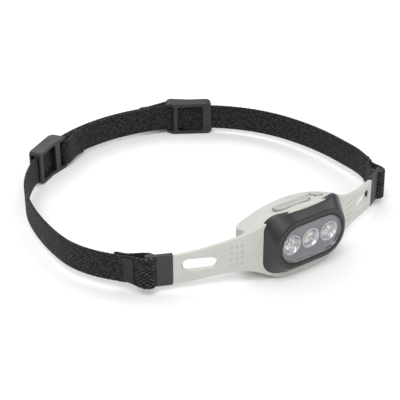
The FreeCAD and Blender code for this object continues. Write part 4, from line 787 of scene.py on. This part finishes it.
class HEADLAMP_OT_straps(bpy.types.Operator):
    """Weave the two elastic straps, sewn round the anchors and the adjusters"""
    bl_idname = "headlamp.straps"
    bl_label = "Straps"

    def execute(self, context):
        sizes = context.scene.headlamp_strap
        for side, name, other in ((1, "right", "left"), (-1, "left", "right")):
            strap = make_ribbon("strap_" + name, strap_path(sizes, side), sizes.width,
                                sizes.thickness, sizes.scallop)
            puff_fold(strap, sizes, side)
            dress(strap, finish_named("band"))
            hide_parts("band_" + name, "band_" + name + "_back")
            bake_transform(strap)
        return {"FINISHED"}


def stitch(details):
    """One stitch: a short thread with round ends, lying along X."""
    thread = start("stitch", bpy.ops.mesh.primitive_uv_sphere_add, segments=8, ring_count=6,
                   radius=details.stitch_radius)
    select_faces(thread, lambda polygon: polygon.center.x > 0)
    bpy.ops.transform.translate(value=(details.stitch_length / 2, 0, 0))
    bpy.ops.object.mode_set(mode="OBJECT")
    select_faces(thread, lambda polygon: polygon.center.x < 0)
    bpy.ops.transform.translate(value=(-details.stitch_length / 2, 0, 0))
    bpy.ops.object.mode_set(mode="OBJECT")
    outward(thread)
    only(thread)
    bpy.ops.object.shade_smooth()
    return thread


def stitched_block(name, details, sizes, spots):
    """Copies of a stitch at places in plan, repeated up the width of the strap."""
    one = stitch(details)
    pitch = sizes.width * 0.86 / (details.stitch_rows - 1)
    made = []
    for spot, along, level_shift in spots:
        turn = Matrix.Rotation(math.radians(along), 4, "Z")
        for row in range(details.stitch_rows):
            level = (row - (details.stitch_rows - 1) / 2) * pitch
            tip = Matrix.Rotation(math.radians(18 if row % 2 else -18), 4, "Y")
            made.append(copy_of(one, lean(sizes) @ Matrix.Translation(
                spot + Vector((0, 0, level + level_shift))) @ turn @ tip))
    bpy.data.objects.remove(one)
    return join(name, made)


def tack_point(sizes, centre, leave, away, step):
    """A point on a fold's face, a step in millimetres past where its two layers meet."""
    swell = max(0.0, -step) * 0.26 * MM
    return (centre + heading(leave) * (sizes.fold + step * MM)
            + away * (sizes.thickness + 0.1 * MM + swell))


class HEADLAMP_OT_stitching(bpy.types.Operator):
    """Sew the straps' folds at the anchors and at the adjusters"""
    bl_idname = "headlamp.stitching"
    bl_label = "Stitching"

    def execute(self, context):
        sizes = context.scene.headlamp_strap
        details = context.scene.headlamp_details
        for side, name, other in ((1, "right", "left"), (-1, "left", "right")):
            centre, leave, out = anchor_seam(sizes, side)
            spots = []
            for face, where in ((1, "outer"), (-1, "inner")):
                run = [tack_point(sizes, centre, leave, out * face, step)
                       for step in (-4.2, -2.8, -1.4, 0.0, 1.4)]
                for step in (-3.4, -1.4, 0.6):
                    spots.append((tack_point(sizes, centre, leave, out * face, step)
                                  + out * face * 0.25 * MM, leave, 0.0))
                patch = make_ribbon("bar_tack_" + where + "_" + name, run, sizes.width * 0.9,
                                    0.5 * MM)
                finished(patch, "thread", "lamp")
            block = stitched_block("anchor_stitches_" + name, details, sizes, spots)
            finished(block, "thread", "lamp")
            post, seam, tail, offset = adjuster_seam(sizes, side)
            spots = []
            per_metre = math.degrees(1 / sizes.back_radius)
            for step in (1.6, 3.5, 5.4):
                bearing = seam - side * step * MM * per_metre
                out_at = offset - side * (sizes.thickness * 1.5 + details.stitch_radius * 0.2)
                spots.append((on_back(sizes, bearing, out_at), bearing + 90, 0.0))
            block = stitched_block("tail_stitches_" + other, details, sizes, spots)
            finished(block, "thread", "adjuster_" + other)
        return {"FINISHED"}


class HEADLAMP_OT_lights(bpy.types.Operator):
    """Put the yellow square on each of the three lights"""
    bl_idname = "headlamp.lights"
    bl_label = "Lights"

    def execute(self, context):
        side = context.scene.headlamp_details.phosphor
        for name in ("left", "middle", "right"):
            low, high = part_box("led_" + name)
            low, high = Vector(low), Vector(high)
            middle = (low + high) / 2
            piece = start("phosphor_" + name, bpy.ops.mesh.primitive_cube_add, size=1.0,
                          location=(middle.x, low.y, middle.z), scale=(side, side * 0.22, side))
            place(piece, Matrix.Identity(4))
            select_faces(piece, lambda polygon: polygon.normal.y < -0.9)
            bpy.ops.mesh.inset(thickness=side * 0.09)
            bpy.ops.transform.translate(value=(0, -side * 0.05, 0))
            bpy.ops.object.mode_set(mode="OBJECT")
            finish_modifier(piece, "BEVEL", width=side * 0.05, segments=2,
                            limit_method="ANGLE", angle_limit=math.radians(30))
            smooth(piece)
            finished(piece, "phosphor", "lamp")
        return {"FINISHED"}


def joint_place(name, turned=0.0):
    """A button's place: its press axis as -Z at the middle of its cap's top, and its half sizes."""
    joint = next(item for item in frame["joints"] if item["name"] == name)
    axis = Vector(joint["axis"]).normalized()
    node = name.replace("_press", "_button")
    low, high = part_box(node)
    middle = (Vector(low) + Vector(high)) / 2
    up = -axis
    vertices = [vertex.co.copy() for vertex in frame["nodes"][node].data.vertices]
    top = max(vertex.dot(up) for vertex in vertices)
    cap = [vertex for vertex in vertices if vertex.dot(up) > top - 0.15 * MM]
    centre = Vector()
    for corner in range(3):
        values = [vertex[corner] for vertex in cap]
        centre[corner] = (min(values) + max(values)) / 2
    across = Vector((1, 0, 0))
    across = (across - up * across.dot(up)).normalized()
    across = Matrix.Rotation(turned, 3, up) @ across
    depth = up.cross(across)
    turn = Matrix((across, depth, up)).transposed().to_4x4()
    span = [vertex.dot(across) for vertex in cap]
    reach = [vertex.dot(depth) for vertex in cap]
    return (Matrix.Translation(centre + up * (top - centre.dot(up))) @ turn,
            (max(span) - min(span)) / 2, (max(reach) - min(reach)) / 2)


class HEADLAMP_OT_buttons(bpy.types.Operator):
    """Grip dots on the long button, a ring of painted shade round each button, and small dark discs of
    painted shade for the holes in the top
    """
    bl_idname = "headlamp.buttons"
    bl_label = "Buttons"

    def execute(self, context):
        details = context.scene.headlamp_details
        turns = {"power": details.power_turn, "mode": 0.0}
        at, half_run, half_depth = joint_place("power_press", turns["power"])
        dot = start("grip_dot", bpy.ops.mesh.primitive_uv_sphere_add, segments=8, ring_count=6,
                    radius=details.grip_dot)
        dot.scale = (1, 1, 0.55)
        place(dot, Matrix.Identity(4))
        bpy.ops.object.shade_smooth()
        made = []
        columns = int(half_run * 0.95 / details.grip_pitch)
        rows = int(half_depth * 0.8 / details.grip_pitch)
        for column in range(-columns, columns + 1):
            for row in range(-rows, rows + 1):
                made.append(copy_of(dot, at @ Matrix.Translation(
                    Vector((column * details.grip_pitch, row * details.grip_pitch, 0)))))
        bpy.data.objects.remove(dot)
        dots = join("power_grip_dots", made)
        finished(dots, "dots", "power_button")
        # Each ring is a dark tube of painted shade laid in the gap round its button.
        for name, spread, finish in (("power", 0.75, "groove"), ("mode", 0.6, "ring")):
            at, half_run, half_depth = joint_place(name + "_press", turns[name])
            at = at @ Matrix.Translation((0, 0, -details.proud))
            ring = start(name + "_ring", bpy.ops.mesh.primitive_torus_add,
                         major_segments=48, minor_segments=8,
                         major_radius=half_depth + spread * MM,
                         minor_radius=details.ring_tube)
            stretch = half_run - half_depth
            for vertex in ring.data.vertices:
                if abs(vertex.co.x) > 1e-6:
                    vertex.co.x += math.copysign(stretch, vertex.co.x)
                vertex.co.z *= 0.5
            place(ring, at)
            smooth(ring, 60)
            finished(ring, finish, "lamp")
        # The small holes are drawn as flat dark discs of painted shade on the top.
        for name, across, depth in (("left", -5.2, 0.6), ("front", -3.2, -3.6)):
            hole = start("pin_hole_" + name, bpy.ops.mesh.primitive_uv_sphere_add, segments=16,
                         ring_count=8, radius=details.pin_hole)
            hole.scale = (1, 1, 0.3)
            place(hole, at @ Matrix.Translation((across * MM, depth * MM, 0)))
            only(hole)
            bpy.ops.object.shade_smooth()
            finished(hole, "ring", "lamp")
        return {"FINISHED"}


class HEADLAMP_OT_stage(bpy.types.Operator):
    """Pale floor, soft studio light and the camera"""
    bl_idname = "headlamp.stage"
    bl_label = "Stage"

    def execute(self, context):
        floor = start("floor", bpy.ops.mesh.primitive_plane_add, size=6.0, location=(0, 0, 0))
        made, wires, principled = shader("Pale floor", Roughness=0.9, Specular_IOR_Level=0.1)
        tone = wires.mix(wires.noise(wires.node("TexCoord").outputs["Object"], 3.0),
                         (0.86, 0.86, 0.86, 1), (0.90, 0.90, 0.90, 1))
        wires.link(tone, principled.inputs["Base Color"])
        dress(floor, made)
        world = bpy.data.worlds.new("studio")
        context.scene.world = world
        world.use_nodes = True
        context.scene.view_settings.view_transform = "Standard"
        sky = Wiring(world.node_tree)
        rise = sky.node("SeparateXYZ")
        sky.link(sky.node("TexCoord").outputs["Generated"], rise.inputs[0])
        background = world.node_tree.nodes["Background"]
        softbox = sky.mix(sky.between(rise.outputs[2], 0.0, 0.55), (0.10, 0.10, 0.11, 1),
                          (1, 1, 1, 1))
        sky.link(sky.mix(sky.node("LightPath").outputs["Is Camera Ray"], softbox,
                         (1.2, 1.2, 1.2, 1)), background.inputs["Color"])
        background.inputs["Strength"].default_value = 0.8
        for name, location, power, extent in (
                ("key", (-0.5, -0.5, 1.1), 9.0, 0.9),
                ("fill", (0.9, -0.5, 0.6), 3.0, 0.8),
                ("rim", (0.1, 1.0, 0.9), 5.0, 0.9)):
            bpy.ops.object.light_add(type="AREA", location=location)
            light = context.active_object
            light.name = name
            light.data.energy = power
            light.data.size = extent
            aim = Vector((0, 0.05, 0.01)) - Vector(location)
            light.rotation_euler = aim.to_track_quat("-Z", "Y").to_euler()
        turn, lift, distance = math.radians(-36.22), math.radians(29.57), 0.68535
        back = Vector((math.sin(turn) * math.cos(lift), -math.cos(turn) * math.cos(lift),
                       math.sin(lift)))
        target = Vector((-0.01129, 0.06391, 0.010))
        bpy.ops.object.camera_add(location=target + back * distance)
        camera = context.active_object
        camera.rotation_euler = (-back).to_track_quat("-Z", "Y").to_euler()
        camera.data.lens = 114.3
        camera.data.sensor_width = 36
        context.scene.camera = camera
        return {"FINISHED"}


# ---------------------------------------------------------------- panel and main

OPERATORS = (HEADLAMP_OT_finishes, HEADLAMP_OT_straps, HEADLAMP_OT_stitching,
             HEADLAMP_OT_lights, HEADLAMP_OT_buttons, HEADLAMP_OT_stage)


class HEADLAMP_PT_panel(bpy.types.Panel):
    bl_idname = "HEADLAMP_PT_panel"
    bl_label = "Headlamp"
    bl_space_type = "VIEW_3D"
    bl_region_type = "UI"
    bl_category = "Headlamp"

    def draw(self, context):
        for settings in ("headlamp_strap", "headlamp_details", "headlamp_colours"):
            box = self.layout.box()
            group = getattr(context.scene, settings)
            for name in group.__annotations__:
                box.prop(group, name)
        for operator in OPERATORS:
            self.layout.operator(operator.bl_idname)


CLASSES = (HeadlampStrapSizes, HeadlampDetailSizes, HeadlampColours, *OPERATORS,
           HEADLAMP_PT_panel)


def register():
    for item in CLASSES:
        bpy.utils.register_class(item)
    bpy.types.Scene.headlamp_strap = PointerProperty(type=HeadlampStrapSizes)
    bpy.types.Scene.headlamp_details = PointerProperty(type=HeadlampDetailSizes)
    bpy.types.Scene.headlamp_colours = PointerProperty(type=HeadlampColours)


def unregister():
    del bpy.types.Scene.headlamp_strap
    del bpy.types.Scene.headlamp_details
    del bpy.types.Scene.headlamp_colours
    for item in reversed(CLASSES):
        bpy.utils.unregister_class(item)


def main():
    register()
    bpy.ops.headlamp.finishes()
    bpy.ops.headlamp.straps()
    bpy.ops.headlamp.stitching()
    bpy.ops.headlamp.lights()
    bpy.ops.headlamp.buttons()
    bpy.ops.headlamp.stage()


if __name__ == "__main__":
    main()
